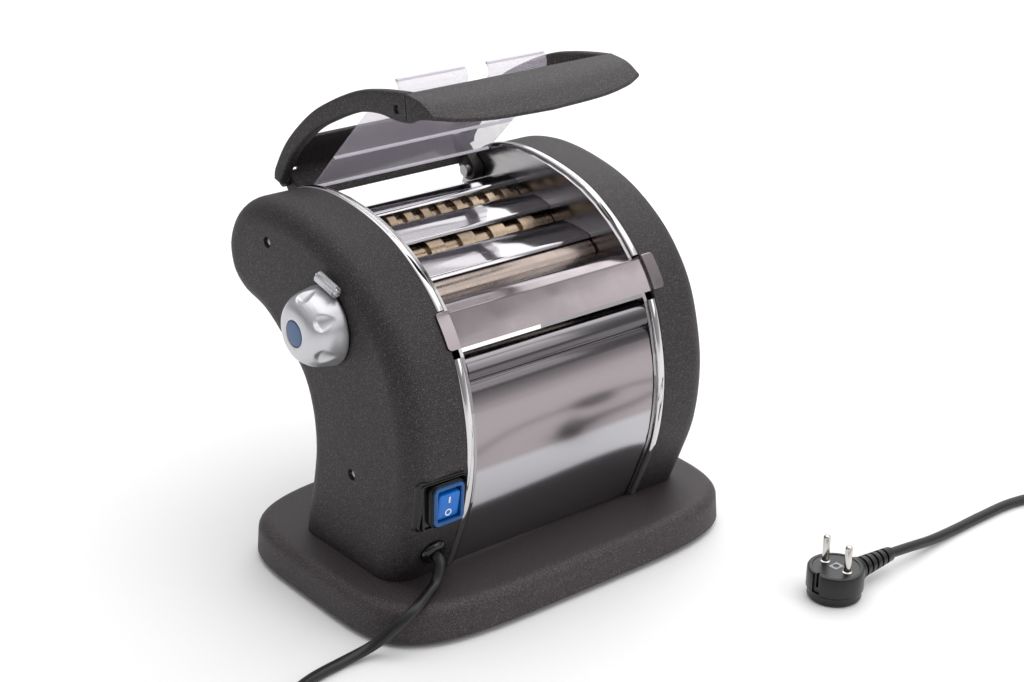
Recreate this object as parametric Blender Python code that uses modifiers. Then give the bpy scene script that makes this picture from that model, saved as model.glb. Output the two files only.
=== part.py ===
"""Electric pasta maker: a motor-driven roller and cutter machine on a cast base.

Metres, +Z up, rollers along X, the front towards -Y and the floor at z = 0.
Sizes below are measured from the middle of the base; the whole machine then
hangs on one empty that moves the middle of its box to x = 0, y = 0.
"""

import math

import bmesh
import bpy
from mathutils import Matrix, Vector

# Driving dimensions of the whole machine
MM = 0.001
BASE_LENGTH = 306.0 * MM
BASE_DEPTH = 210.0 * MM
BASE_TOP = 28.0 * MM
BODY_DEPTH = 213.0 * MM
BODY_HEIGHT = 222.7 * MM
BODY_FRONT = -81.0 * MM
RIM_X = 84.0 * MM
CAP_DEPTH = 42.7 * MM
PLATE_INNER_X = 75.5 * MM
CLEARANCE = 0.3 * MM
OVERRUN = 2.0 * MM

# Where the lid turns, from the body's back and top, and how far it reaches
HINGE_INSET = 20.0 * MM
HINGE_DROP = 24.7 * MM
HINGE_Y = BODY_FRONT + BODY_DEPTH - HINGE_INSET
HINGE_Z = BASE_TOP + BODY_HEIGHT - HINGE_DROP
LID_REACH = 165.0 * MM
LID_RISE = 108.5 * MM

# Roller pairs: the teeth of their gears, the free space between neighbouring
# pairs, how deep a pair's discs interleave, and the nips as shares of the body
NIP_TILT = math.radians(45.0)
NIP_WAY = Vector((math.cos(NIP_TILT), math.sin(NIP_TILT)))
PAIR_TEETH = {"fine_cutter": 16, "wide_cutter": 16, "smooth": 19}
PAIR_GAP = 1.9 * MM
DISC_OVERLAP = 1.0 * MM
SMOOTH_GAP = 0.55 * MM
DRIVE_MODULE = 2.0 * MM
nip_shares = {"fine_cutter": (0.671, 0.800), "wide_cutter": (0.500, 0.760), "smooth": (0.298, 0.707)}

# The side view of the body, as shares of its depth and height, from the
# front foot up over the head and down the hollow back to the rear foot
outline_shares = [
    (0.113, 0.000), (0.070, 0.097), (0.019, 0.232), (0.000, 0.380),
    (0.012, 0.515), (0.061, 0.672), (0.141, 0.789), (0.244, 0.877),
    (0.380, 0.948), (0.540, 0.988), (0.704, 1.000), (0.850, 0.975),
    (0.948, 0.915), (0.998, 0.820), (0.981, 0.722), (0.911, 0.661),
    (0.793, 0.627), (0.690, 0.564), (0.601, 0.497), (0.559, 0.407),
    (0.549, 0.300), (0.568, 0.187), (0.596, 0.088), (0.615, 0.000),
]
NOTCH_BELOW_INDEX, NOTCH_ABOVE_INDEX, TRIM_END_INDEX = 5, 6, 12
SPAN_STEPS = 2

# Colours, roughness and metallic value of each finish
FINISHES = {
    "anthracite": ((0.07, 0.068, 0.065), 0.6, 0.0),
    "chrome": ((0.8, 0.8, 0.8), 0.08, 1.0),
    "steel": ((0.6, 0.6, 0.6), 0.35, 1.0),
    "bronze": ((0.55, 0.45, 0.35), 0.3, 1.0),
    "satin": ((0.65, 0.65, 0.66), 0.4, 1.0),
    "black": ((0.02, 0.02, 0.02), 0.45, 0.0),
    "blue": ((0.02, 0.16, 0.6), 0.3, 0.0),
    "clear": ((0.85, 0.8, 0.88), 0.05, 0.0),
    "nylon": ((0.75, 0.74, 0.7), 0.5, 0.0),
}


# Scene, collections and materials
def new_collection(name):
    made = bpy.data.collections.new(name)
    bpy.context.scene.collection.children.link(made)
    return made


for old in list(bpy.data.objects):
    bpy.data.objects.remove(old, do_unlink=True)
PARTS = new_collection("electric_pasta_maker")
CUTTERS = new_collection("cutters")
MACHINE = bpy.data.objects.new("machine_middle", None)
PARTS.objects.link(MACHINE)


def finish(name):
    """The material of one finish, made once."""
    made = bpy.data.materials.get(name)
    if made:
        return made
    made = bpy.data.materials.new(name)
    made.use_nodes = True
    colour, roughness, metallic = FINISHES[name]
    shader = made.node_tree.nodes["Principled BSDF"]
    shader.inputs["Base Color"].default_value = (*colour, 1.0)
    shader.inputs["Roughness"].default_value = roughness
    shader.inputs["Metallic"].default_value = metallic
    return made


# Smooth lines and closed outlines, as lists of 2D points
def smooth(points, steps=SPAN_STEPS):
    """A Catmull-Rom line through the points, with steps points in each span."""
    pts = [Vector(p) for p in points]
    ends = [pts[0] * 2 - pts[1], *pts, pts[-1] * 2 - pts[-2]]
    line = []
    for a, b, c, d in zip(ends, ends[1:], ends[2:], ends[3:]):
        for k in range(steps):
            t = k / steps
            line.append(
                (b * 2 + (c - a) * t + (a * 2 - b * 5 + c * 4 - d) * t**2
                 + (b * 3 - a - c * 3 + d) * t**3) / 2
            )
    return [*line, pts[-1]]


def offset(points, distance, closed=True):
    """The points moved outwards by distance, for a line that runs clockwise."""
    moved = []
    for i, point in enumerate(points):
        before = points[i - 1] if closed or i else None
        after = points[(i + 1) % len(points)] if closed or i + 1 < len(points) else None
        sides = []
        if before is not None:
            sides.append((point - before).normalized())
        if after is not None:
            sides.append((after - point).normalized())
        normals = [Vector((-s.y, s.x)) for s in sides]
        middle = sum(normals, Vector((0.0, 0.0)))
        moved.append(point + middle * (distance * len(normals) / middle.dot(middle)))
    return moved


def circle(radius, y=0.0, z=0.0, steps=20, first=0.0):
    turn = 2 * math.pi / steps
    return [
        Vector((y + radius * math.cos(first + k * turn), z + radius * math.sin(first + k * turn)))
        for k in range(steps)
    ]


def on_body(shares):
    """A point of the side view from its shares of the body's depth and height."""
    return Vector((BODY_FRONT + shares[0] * BODY_DEPTH,
                   BASE_TOP + CLEARANCE + shares[1] * BODY_HEIGHT))


def body_line(first=0, last=None):
    """The body's side view between two of its points, in y and z."""
    points = [on_body(share) for share in outline_shares]
    last = len(points) - 1 if last is None else last
    return smooth(points)[first * SPAN_STEPS:last * SPAN_STEPS + 1]


def band(line, outer, inner):
    """A closed strip along an open line, between two offsets of it."""
    return offset(line, outer, closed=False) + offset(line, inner, closed=False)[::-1]


# Objects from meshes, curves and turned profiles
def axle(name, y, z, x=0.0):
    """An empty on a joint's axis, to hang the pieces of one moving body on."""
    made = bpy.data.objects.new(name, None)
    PARTS.objects.link(made)
    made.parent = MACHINE
    made.location = (x, y, z)
    return made


def place(obj, name, material, parent=None, hidden=False):
    obj.name = name
    (CUTTERS if hidden else PARTS).objects.link(obj)
    obj.parent = parent or MACHINE
    if parent:
        obj.matrix_parent_inverse = Matrix.Translation(-parent.location)
    if hidden:
        obj.hide_render = True
        obj.display_type = "WIRE"
    else:
        obj.data.materials.clear()
        obj.data.materials.append(finish(material))
    return obj


def mesh_object(name, bm, material, parent=None, hidden=False):
    mesh = bpy.data.meshes.new(name)
    bmesh.ops.recalc_face_normals(bm, faces=bm.faces)
    bm.to_mesh(mesh)
    bm.free()
    return place(bpy.data.objects.new(name, mesh), name, material, parent, hidden)


def slab(name, loops, start, end, material, parent=None, axis="X", hidden=False):
    """Closed loops filled as one flat outline and given thickness along X or Z."""
    curve = bpy.data.curves.new(name, "CURVE")
    curve.dimensions = "2D"
    curve.fill_mode = "BOTH"
    curve.extrude = abs(end - start) / 2
    for loop in loops:
        spline = curve.splines.new("POLY")
        spline.points.add(len(loop) - 1)
        for point, (u, v) in zip(spline.points, loop):
            point.co = (u, v, 0.0, 1.0)
        spline.use_cyclic_u = True
    carrier = bpy.data.objects.new(name, curve)
    bpy.context.scene.collection.objects.link(carrier)
    seen = carrier.evaluated_get(bpy.context.evaluated_depsgraph_get())
    mesh = bpy.data.meshes.new_from_object(seen)
    bpy.data.objects.remove(carrier, do_unlink=True)
    bpy.data.curves.remove(curve)
    turn = Matrix(((0, 0, 1), (1, 0, 0), (0, 1, 0))).to_4x4() if axis == "X" else Matrix.Identity(4)
    middle = (start + end) / 2
    shift = Matrix.Translation((middle, 0, 0) if axis == "X" else (0, 0, middle))
    mesh.transform(shift @ turn)
    bm = bmesh.new()
    bm.from_mesh(mesh)
    bpy.data.meshes.remove(mesh)
    bmesh.ops.remove_doubles(bm, verts=bm.verts, dist=MM / 1000)
    return mesh_object(name, bm, material, parent, hidden)


def turned(name, stations, material, y, z, parent=None, steps=20, hollow=False, hidden=False):
    """A turned piece along X at y, z, from its radius at places along X."""
    bm = bmesh.new()
    verts = [bm.verts.new((radius, 0.0, -x)) for x, radius in stations]
    for a, b in zip(verts, verts[1:] + verts[:1] if hollow else verts[1:]):
        bm.edges.new((a, b))
    mesh = bpy.data.meshes.new(name)
    bm.to_mesh(mesh)
    bm.free()
    obj = place(bpy.data.objects.new(name, mesh), name, material, parent, hidden)
    obj.location = (0.0, y, z)
    obj.rotation_euler = (0.0, -math.pi / 2, 0.0)
    screw = obj.modifiers.new("turned", "SCREW")
    screw.steps = screw.render_steps = steps
    screw.use_merge_vertices = True
    screw.merge_threshold = MM / 1000
    return obj


def solid_stations(stations):
    """Turned stations closed on the axis at both ends."""
    return [(stations[0][0], 0.0), *stations, (stations[-1][0], 0.0)]


def mirrored(stations, side):
    """Stations for one side of the machine, still in order along X."""
    return stations if side > 0 else [(-x, radius) for x, radius in stations[::-1]]


def box(name, low, high, material, parent=None, hidden=False, rounded=0.0):
    """A box between two corners, with rounded edges if a radius is given."""
    bm = bmesh.new()
    bmesh.ops.create_cube(bm, size=1.0)
    size = Vector(high) - Vector(low)
    bmesh.ops.scale(bm, vec=size, verts=bm.verts)
    bmesh.ops.translate(bm, vec=(Vector(high) + Vector(low)) / 2, verts=bm.verts)
    obj = mesh_object(name, bm, material, parent, hidden)
    if rounded:
        bevel(obj, rounded, 2)
    return obj


def bevel(obj, width, segments, angle=40.0):
    made = obj.modifiers.new("rounded", "BEVEL")
    made.width = width
    made.segments = segments
    made.limit_method = "ANGLE"
    made.angle_limit = math.radians(angle)
    made.use_clamp_overlap = True
    return made


def cut(obj, cutter, operation="DIFFERENCE"):
    made = obj.modifiers.new("cut", "BOOLEAN")
    made.operation = operation
    made.object = cutter
    made.solver = "EXACT"
    return made


def join(obj, others):
    """Other solids melted into obj, which then keeps one mesh."""
    for other in others:
        cut(obj, other, "UNION")
        PARTS.objects.unlink(other)
        CUTTERS.objects.link(other)
        other.hide_render = True
        other.display_type = "WIRE"
        other.name = other.name + "_joined"


def loft(name, sections, material, parent=None):
    """A skin over like sections, closed at both ends."""
    bm = bmesh.new()
    rows = [[bm.verts.new(p) for p in section] for section in sections]
    for a, b in zip(rows, rows[1:]):
        for i in range(len(a)):
            j = (i + 1) % len(a)
            bm.faces.new((a[i], a[j], b[j], b[i]))
    bm.faces.new(rows[0][::-1])
    bm.faces.new(rows[-1])
    return mesh_object(name, bm, material, parent)


# The gears' module is the one that leaves the free space between the two
# cutter pairs, and every roller's radius follows from it
NIPS = {pair: on_body(share) for pair, share in nip_shares.items()}


def fitting_spread():
    """How far apart a cutter pair's axes can be before it meets the next pair."""
    step = NIPS["fine_cutter"] - NIPS["wide_cutter"]
    play = DISC_OVERLAP + PAIR_GAP
    return (step.length_squared - play**2) / (2 * (play + step.dot(NIP_WAY)))


SPREAD = fitting_spread()
GEAR_MODULE = SPREAD / PAIR_TEETH["fine_cutter"]
CUTTER_RADIUS = (SPREAD + DISC_OVERLAP) / 2
SMOOTH_RADIUS = (PAIR_TEETH["smooth"] * GEAR_MODULE - SMOOTH_GAP) / 2


def by_nip(pair, shares):
    """A point near a nip, from shares of how far apart a cutter pair's axes are."""
    return NIPS[pair] + Vector(shares) * SPREAD


# Gear teeth: height above and below the pitch circle, and widths, in modules
tooth_shares = {"above": 0.9, "below": 1.2, "tip": 0.36, "root": 0.80}


def gear_loop(teeth, module, phase):
    """The outline of a spur gear whose first tooth points at the phase angle."""
    pitch = teeth * module / 2
    tip = pitch + tooth_shares["above"] * module
    root = pitch - tooth_shares["below"] * module
    corners = [(root, -tooth_shares["root"]), (tip, -tooth_shares["tip"]),
               (tip, tooth_shares["tip"]), (root, tooth_shares["root"])]
    loop = []
    for k in range(teeth):
        middle = phase + 2 * math.pi * k / teeth
        for radius, half in corners:
            angle = middle + half * module / radius
            loop.append(Vector((radius * math.cos(angle), radius * math.sin(angle))))
    return loop


def meshing_phase(teeth, phase, other_teeth, direction):
    """The phase of a gear that meshes with another that lies in a direction from it."""
    place_on_other = other_teeth * (direction + math.pi - phase) / (2 * math.pi)
    return direction - (2 * math.pi / teeth) * (0.5 - place_on_other)


def centre(pair, upper):
    """The axis of one roller of a pair: the upper one lies behind the nip."""
    return NIPS[pair] + NIP_WAY * (PAIR_TEETH[pair] * GEAR_MODULE / 2 * (1 if upper else -1))


def third_corner(a, b, from_a, from_b):
    """The point left of the way from a to b at two distances from them."""
    way = b - a
    along = (way.length_squared + from_a**2 - from_b**2) / (2 * way.length)
    aside = math.sqrt(from_a**2 - along**2)
    unit = way.normalized()
    return a + unit * along + Vector((-unit.y, unit.x)) * aside


def direction(a, b):
    return math.atan2(b.y - a.y, b.x - a.x)


# Base plate: a cast shell with bowed sides, closed below, on four feet
BASE_WALL = 3.0 * MM
BASE_EDGE_Z = 4.0 * MM
BASE_EDGE_RADIUS = 8.0 * MM
BASE_DRAFT = 1.5 * MM
BASE_BOW_POWER = 4.5
COVER_THICKNESS = 2.0 * MM
FOOT_RADIUS = 11.0 * MM
FOOT_RISE = 1.5 * MM
foot_place_shares = (0.78, 0.70)


def bowed(length, depth, steps=44):
    """A rounded rectangle whose sides bow out."""
    loop = []
    for k in range(steps):
        angle = -2 * math.pi * k / steps
        c, s = math.cos(angle), math.sin(angle)
        size = (abs(c) ** BASE_BOW_POWER + abs(s) ** BASE_BOW_POWER) ** (-1 / BASE_BOW_POWER)
        loop.append(Vector((length / 2 * c * size, depth / 2 * s * size)))
    return loop


def make_base():
    bm = bmesh.new()
    low = bowed(BASE_LENGTH, BASE_DEPTH)
    high = bowed(BASE_LENGTH - 2 * BASE_DRAFT, BASE_DEPTH - 2 * BASE_DRAFT)
    rows = [[bm.verts.new((x, y, z)) for x, y in loop]
            for loop, z in ((low, BASE_EDGE_Z), (high, BASE_TOP))]
    for i in range(len(low)):
        j = (i + 1) % len(low)
        bm.faces.new((rows[0][i], rows[0][j], rows[1][j], rows[1][i]))
    bm.faces.new(rows[1])
    base = mesh_object("base_plate", bm, "anthracite")
    bevel(base, BASE_EDGE_RADIUS, 2)
    shell = base.modifiers.new("wall", "SOLIDIFY")
    shell.thickness = BASE_WALL
    shell.offset = -1.0
    inset = 2 * (BASE_WALL + 2 * CLEARANCE)
    slab("base_bottom_cover", [bowed(BASE_LENGTH - inset, BASE_DEPTH - inset)],
         BASE_EDGE_Z, BASE_EDGE_Z + COVER_THICKNESS, "black", axis="Z")
    for side, left in ((-1, "left"), (1, "right")):
        for end, front in ((-1, "front"), (1, "rear")):
            x = side * foot_place_shares[0] * BASE_LENGTH / 2
            y = end * foot_place_shares[1] * BASE_DEPTH / 2
            slab(f"rubber_foot_{front}_{left}", [circle(FOOT_RADIUS, x, y)],
                 0.0, BASE_EDGE_Z - CLEARANCE, "black", axis="Z")


make_base()

# End caps: rounded shells outside the side plates
CAP_WALL = 3.0 * MM
CAP_EDGE_RADIUS = 17.0 * MM
CAP_START_X = RIM_X + CLEARANCE
CAP_FACE_X = CAP_START_X + CAP_DEPTH


def make_cap(name, side):
    """One cap, open towards the machine, with its rim at the trim."""
    bm = bmesh.new()
    loop = body_line()
    rows = [[bm.verts.new((side * x, y, z)) for y, z in loop] for x in (CAP_START_X, CAP_FACE_X)]
    for i in range(len(loop)):
        j = (i + 1) % len(loop)
        bm.faces.new((rows[0][i], rows[0][j], rows[1][j], rows[1][i]))
    bm.faces.new(rows[1])
    cap = mesh_object(name, bm, "anthracite")
    groups = cap.vertex_groups.new(name="outer_edge")
    groups.add([v.index for v in cap.data.vertices
                if abs(v.co.x) > CAP_FACE_X - CAP_WALL
                and v.co.z > BASE_TOP + CAP_EDGE_RADIUS], 1.0, "REPLACE")
    rounding = bevel(cap, CAP_EDGE_RADIUS, 3)
    rounding.limit_method = "VGROUP"
    rounding.vertex_group = "outer_edge"
    shell = cap.modifiers.new("wall", "SOLIDIFY")
    shell.thickness = CAP_WALL
    shell.offset = -1.0
    return cap


left_cap = make_cap("left_end_cap", -1)
right_cap = make_cap("right_end_cap", 1)

# Thickness setting: how far the lower roller slides from the nip, and the
# knob's axis, whose snail cam pushes the shaft that the roller turns on
THICKNESS_TRAVEL = 1.9 * MM
KNOB_REACH = 34.1 * MM
KNOB_WAY = math.radians(18.6)
UPPER = {pair: centre(pair, True) for pair in PAIR_TEETH}
LOWER = {pair: centre(pair, False) for pair in PAIR_TEETH}
KNOB_AXIS = LOWER["smooth"] + Vector((math.cos(KNOB_WAY), math.sin(KNOB_WAY))) * KNOB_REACH

# Gear planes outside the right side plate, and the drive train's gears
PLATE_THICKNESS = 2.5 * MM
PLATE_OUTER_X = PLATE_INNER_X + PLATE_THICKNESS
GEAR_WIDTH = 6.5 * MM
GEAR_GAP = 1.5 * MM
FIRST_PLANE_STANDOFF = 8.5 * MM
FIRST_PLANE = PLATE_OUTER_X + FIRST_PLANE_STANDOFF
SECOND_PLANE = FIRST_PLANE + GEAR_WIDTH + GEAR_GAP
THIRD_PLANE = SECOND_PLANE + GEAR_WIDTH + GEAR_GAP
REAR_IDLER_TEETH = 18
FRONT_IDLER_TEETH = 20
REDUCTION_SMALL_TEETH = 28
REDUCTION_LARGE_TEETH = 45
MOTOR_TEETH = 12
REDUCTION_WAY = math.radians(-65.7)
MOTOR_WAY = math.radians(-109.5)


def pitch_sum(first, second, module=GEAR_MODULE):
    """The distance between two meshing gears' axes."""
    return (first + second) * module / 2


REAR_IDLER_AXIS = third_corner(
    UPPER["wide_cutter"], UPPER["fine_cutter"],
    pitch_sum(PAIR_TEETH["wide_cutter"], REAR_IDLER_TEETH),
    pitch_sum(PAIR_TEETH["fine_cutter"], REAR_IDLER_TEETH),
)
FRONT_IDLER_AXIS = third_corner(
    UPPER["smooth"], UPPER["wide_cutter"],
    pitch_sum(PAIR_TEETH["smooth"], FRONT_IDLER_TEETH),
    pitch_sum(PAIR_TEETH["wide_cutter"], FRONT_IDLER_TEETH),
)
REDUCTION_AXIS = UPPER["smooth"] + Vector(
    (math.cos(REDUCTION_WAY), math.sin(REDUCTION_WAY))
) * pitch_sum(PAIR_TEETH["smooth"], REDUCTION_SMALL_TEETH)
MOTOR_AXIS = REDUCTION_AXIS + Vector((math.cos(MOTOR_WAY), math.sin(MOTOR_WAY))) * pitch_sum(
    MOTOR_TEETH, REDUCTION_LARGE_TEETH, DRIVE_MODULE
)

# Side plates: polished steel, bored for every journal, with the gear studs
PLATE_INSET = 1.2 * MM
JOURNAL_RADIUS = 5.0 * MM
STUD_RADIUS = 4.0 * MM
STUD_PROUD = 1.0 * MM
JOURNAL_PLAY = 0.3 * MM
hollow_journal_share = 0.362
GEAR_ROOT_RADIUS = (PAIR_TEETH["smooth"] / 2 - tooth_shares["below"]) * GEAR_MODULE
SHAFT_BORE = STUD_RADIUS + JOURNAL_PLAY
HOLLOW_JOURNAL_RADIUS = SHAFT_BORE + hollow_journal_share * (GEAR_ROOT_RADIUS - SHAFT_BORE)
HINGE_PIN_RADIUS = 3.0 * MM
PINION_PLAY = 1.0 * MM


def slide_slot(radius, steps=14):
    """A slot round the lower smooth roller's axis, as long as its travel."""
    first = NIP_TILT - math.pi / 2
    rim = circle(radius, *LOWER["smooth"], steps, first)
    away = NIP_WAY * THICKNESS_TRAVEL
    half = steps // 2
    return rim[:half + 1] + [rim[half] - away] + [p - away for p in rim[half + 1:]] + [rim[0] - away]


def make_side_plate(name, side):
    line = offset(body_line(), -PLATE_INSET, closed=False)
    line = [Vector((y, max(z, BASE_TOP + CLEARANCE))) for y, z in line]
    bores = [(UPPER[pair], JOURNAL_RADIUS) for pair in PAIR_TEETH]
    bores += [(LOWER[pair], JOURNAL_RADIUS) for pair in PAIR_TEETH if pair != "smooth"]
    bores.append((Vector((HINGE_Y, HINGE_Z)), HINGE_PIN_RADIUS))
    if side > 0:
        bores.append((MOTOR_AXIS, STUD_RADIUS + PINION_PLAY))
    else:
        bores.append((KNOB_AXIS, STUD_RADIUS))
    holes = [circle(radius + CLEARANCE, c.x, c.y, 12) for c, radius in bores]
    holes.append(slide_slot((HOLLOW_JOURNAL_RADIUS if side > 0 else STUD_RADIUS) + CLEARANCE))
    plate = slab(name, [line, *holes], side * PLATE_INNER_X, side * PLATE_OUTER_X, "steel")
    if side > 0:
        studs = {"rear_idler": (REAR_IDLER_AXIS, SECOND_PLANE + GEAR_WIDTH),
                 "front_idler": (FRONT_IDLER_AXIS, SECOND_PLANE + GEAR_WIDTH),
                 "reduction": (REDUCTION_AXIS, THIRD_PLANE + GEAR_WIDTH)}
        join(plate, [
            turned(f"{stud}_stud", solid_stations([
                (PLATE_INNER_X + PLATE_THICKNESS / 2, STUD_RADIUS),
                (end + STUD_PROUD, STUD_RADIUS)]), "steel", axis.x, axis.y, steps=12)
            for stud, (axis, end) in studs.items()
        ])
    return plate


make_side_plate("left_side_plate", -1)
make_side_plate("right_side_plate", 1)

# Trims: bright strips between the side plates and the caps, with a notch
# where the feed plate's ears pass over
TRIM_PROUD = 1.0 * MM
TRIM_HEIGHT = 5.0 * MM
TRIM_ROUNDING = 1.2 * MM
TRIM_SHARP = 60.0
for side, hand in ((-1, "left"), (1, "right")):
    for part_name, first, last in (("lower", 0, NOTCH_BELOW_INDEX),
                                   ("upper", NOTCH_ABOVE_INDEX, TRIM_END_INDEX)):
        strip = slab(
            f"{hand}_{part_name}_trim",
            [band(body_line(first, last), TRIM_PROUD, TRIM_PROUD - TRIM_HEIGHT)],
            side * (PLATE_OUTER_X + CLEARANCE), side * RIM_X, "chrome",
        )
        bevel(strip, TRIM_ROUNDING, 1, TRIM_SHARP)

# Guide bars and covers: sheets bent along X. The bars' points lie by the nips
# that they guide dough into, the covers' are shares of the body
SHEET = 1.2 * MM
SHEET_HALF_X = PLATE_INNER_X - CLEARANCE
COVER_INSET = 1.8 * MM
rear_bar_shares = (
    ("fine_cutter", 0.256, 0.946), ("fine_cutter", 0.33, 1.08),
    ("fine_cutter", 0.905, 1.125), ("fine_cutter", 1.651, 0.88),
)
middle_bar_shares = (
    ("wide_cutter", 0.277, 0.902), ("wide_cutter", 0.288, 1.047), ("wide_cutter", 0.831, 1.203),
    ("fine_cutter", -0.298, 0.802), ("fine_cutter", -0.245, 0.457),
)
front_bar_shares = (
    ("smooth", 0.277, 1.047), ("smooth", 0.351, 1.169), ("smooth", 1.022, 1.269),
    ("wide_cutter", -0.256, 0.702), ("wide_cutter", -0.202, 0.379),
)
feed_rear_shares = ((0.178, 0.798), (0.272, 0.776))
cover_bead_shares = (
    (0.035, 0.569), (0.042, 0.585), (0.051, 0.594), (0.043, 0.607),
    (0.046, 0.627), (0.057, 0.648), (0.072, 0.660), (0.113, 0.661),
)
rear_cover_shares = ((0.864, 0.836), (0.906, 0.796), (0.934, 0.753), (0.948, 0.722), (0.934, 0.690))
COVER_TUCK = 1.9 * MM
chute_shares = {"front": (0.089, 0.609), "rear": 0.540}


def bent_sheet(name, line, material="chrome", half_width=SHEET_HALF_X, thickness=SHEET, parent=None):
    """A sheet bent along a line in the side view, thick to its right."""
    return slab(name, [band([Vector(p) for p in line], 0.0, -thickness)],
                -half_width, half_width, material, parent)


for bar_name, bar_shares in (("rear_guide_bar", rear_bar_shares),
                             ("middle_guide_bar", middle_bar_shares),
                             ("front_guide_bar", front_bar_shares)):
    bent_sheet(bar_name, [by_nip(pair, shares) for pair, *shares in bar_shares])
tucked = by_nip(rear_bar_shares[-1][0], rear_bar_shares[-1][1:])
tucked += Vector((SHEET / 2, -SHEET - COVER_TUCK))
bent_sheet("rear_cover", [tucked] + [on_body(share) for share in rear_cover_shares], "anthracite")
cover_line = [Vector((y, max(z, BASE_TOP + CLEARANCE)))
              for y, z in offset(body_line(0, NOTCH_BELOW_INDEX - 1), -COVER_INSET, closed=False)]
bent_sheet("front_cover", cover_line + [on_body(share) for share in cover_bead_shares])

# Feed plate: its ears pass over both side plates and rest on the caps
EAR_REACH = 10.0 * MM
EAR_GAP = 0.6 * MM


def make_feed_plate():
    over = offset(body_line(NOTCH_BELOW_INDEX, NOTCH_ABOVE_INDEX), CLEARANCE + SHEET, closed=False)
    over[0] += (over[1] - over[0]).normalized() * EAR_GAP
    over[-1] += (over[-2] - over[-1]).normalized() * EAR_GAP
    ear_end = over[-1].x
    plate = bent_sheet("feed_plate", over + [on_body(share) for share in feed_rear_shares],
                       half_width=RIM_X + EAR_REACH)
    for side in (-1, 1):
        xs = sorted((side * SHEET_HALF_X, side * (RIM_X + EAR_REACH + OVERRUN)))
        cut(plate, box(f"beside_feed_plate_{'left' if side < 0 else 'right'}",
                       (xs[0], ear_end, BASE_TOP),
                       (xs[1], BODY_FRONT + BODY_DEPTH, BASE_TOP + BODY_HEIGHT),
                       "chrome", hidden=True))


make_feed_plate()

# Tie rods between the side plates
TIE_ROD_RADIUS = 4.0 * MM
tie_rod_shares = {"front": (0.136, 0.105), "rear": (0.484, 0.142)}
for end, share in tie_rod_shares.items():
    y, z = on_body(share)
    turned(f"lower_tie_rod_{end}", solid_stations([
        (-SHEET_HALF_X, TIE_ROD_RADIUS), (SHEET_HALF_X, TIE_ROD_RADIUS)]), "steel", y, z, steps=12)

# Rollers: cutters are stepped into discs, and each pair's discs interleave
ROLLER_HALF = 74.8 * MM
LEFT_JOURNAL_END = 83.0 * MM
JOURNAL_PROUD = 0.5 * MM
GROOVE_DEPTH = 3.0 * MM
DISC_PLAY = 0.4 * MM
disc_counts = {"fine_cutter": 10, "wide_cutter": 5}
disc_pitches = {"fine_cutter": 14.0 * MM, "wide_cutter": 26.0 * MM}


def make_cutter(pair, upper):
    core = CUTTER_RADIUS - GROOVE_DEPTH
    pitch = disc_pitches[pair]
    count = disc_counts[pair] if upper else disc_counts[pair] + 1
    right = (SECOND_PLANE if upper else FIRST_PLANE) + GEAR_WIDTH + JOURNAL_PROUD
    stations = [(-LEFT_JOURNAL_END, JOURNAL_RADIUS), (-ROLLER_HALF, JOURNAL_RADIUS),
                (-ROLLER_HALF, core)]
    for k in range(count):
        middle = (k - (count - 1) / 2) * pitch
        low = max(middle - (pitch / 2 - DISC_PLAY) / 2, -ROLLER_HALF)
        high = min(middle + (pitch / 2 - DISC_PLAY) / 2, ROLLER_HALF)
        stations += [(low, core), (low, CUTTER_RADIUS), (high, CUTTER_RADIUS), (high, core)]
    stations += [(ROLLER_HALF, core), (ROLLER_HALF, JOURNAL_RADIUS), (right, JOURNAL_RADIUS)]
    stations = [s for s, n in zip(stations, [*stations[1:], None]) if s != n]
    axis = (UPPER if upper else LOWER)[pair]
    turned(f"{pair}_{'upper' if upper else 'lower'}", solid_stations(stations),
           "bronze", axis.x, axis.y, steps=10)


for pair_name in disc_counts:
    make_cutter(pair_name, True)
    make_cutter(pair_name, False)

turned("fixed_smooth_roller", solid_stations([
    (-LEFT_JOURNAL_END, JOURNAL_RADIUS), (-ROLLER_HALF, JOURNAL_RADIUS),
    (-ROLLER_HALF, SMOOTH_RADIUS), (ROLLER_HALF, SMOOTH_RADIUS), (ROLLER_HALF, JOURNAL_RADIUS),
    (SECOND_PLANE + GEAR_WIDTH + JOURNAL_PROUD, JOURNAL_RADIUS),
]), "steel", UPPER["smooth"].x, UPPER["smooth"].y)
turned("adjustable_smooth_roller", [
    (-ROLLER_HALF, SMOOTH_RADIUS), (ROLLER_HALF, SMOOTH_RADIUS),
    (ROLLER_HALF, HOLLOW_JOURNAL_RADIUS),
    (FIRST_PLANE + GEAR_WIDTH + JOURNAL_PROUD, HOLLOW_JOURNAL_RADIUS),
    (FIRST_PLANE + GEAR_WIDTH + JOURNAL_PROUD, SHAFT_BORE), (-ROLLER_HALF, SHAFT_BORE),
], "steel", LOWER["smooth"].x, LOWER["smooth"].y, hollow=True)


# Gears, each meshed with the one before it in the train
def gear(name, teeth, start, end, axis, phase, bore, module=GEAR_MODULE, material="steel"):
    loops = [gear_loop(teeth, module, phase)]
    if bore:
        loops.append(circle(bore, steps=16))
    made = slab(name, loops, start, end, material)
    made.location = (0.0, axis.x, axis.y)
    return made


def meshed(teeth, axis, other_teeth, other_axis, other_phase):
    return meshing_phase(teeth, other_phase, other_teeth, direction(axis, other_axis))


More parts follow.
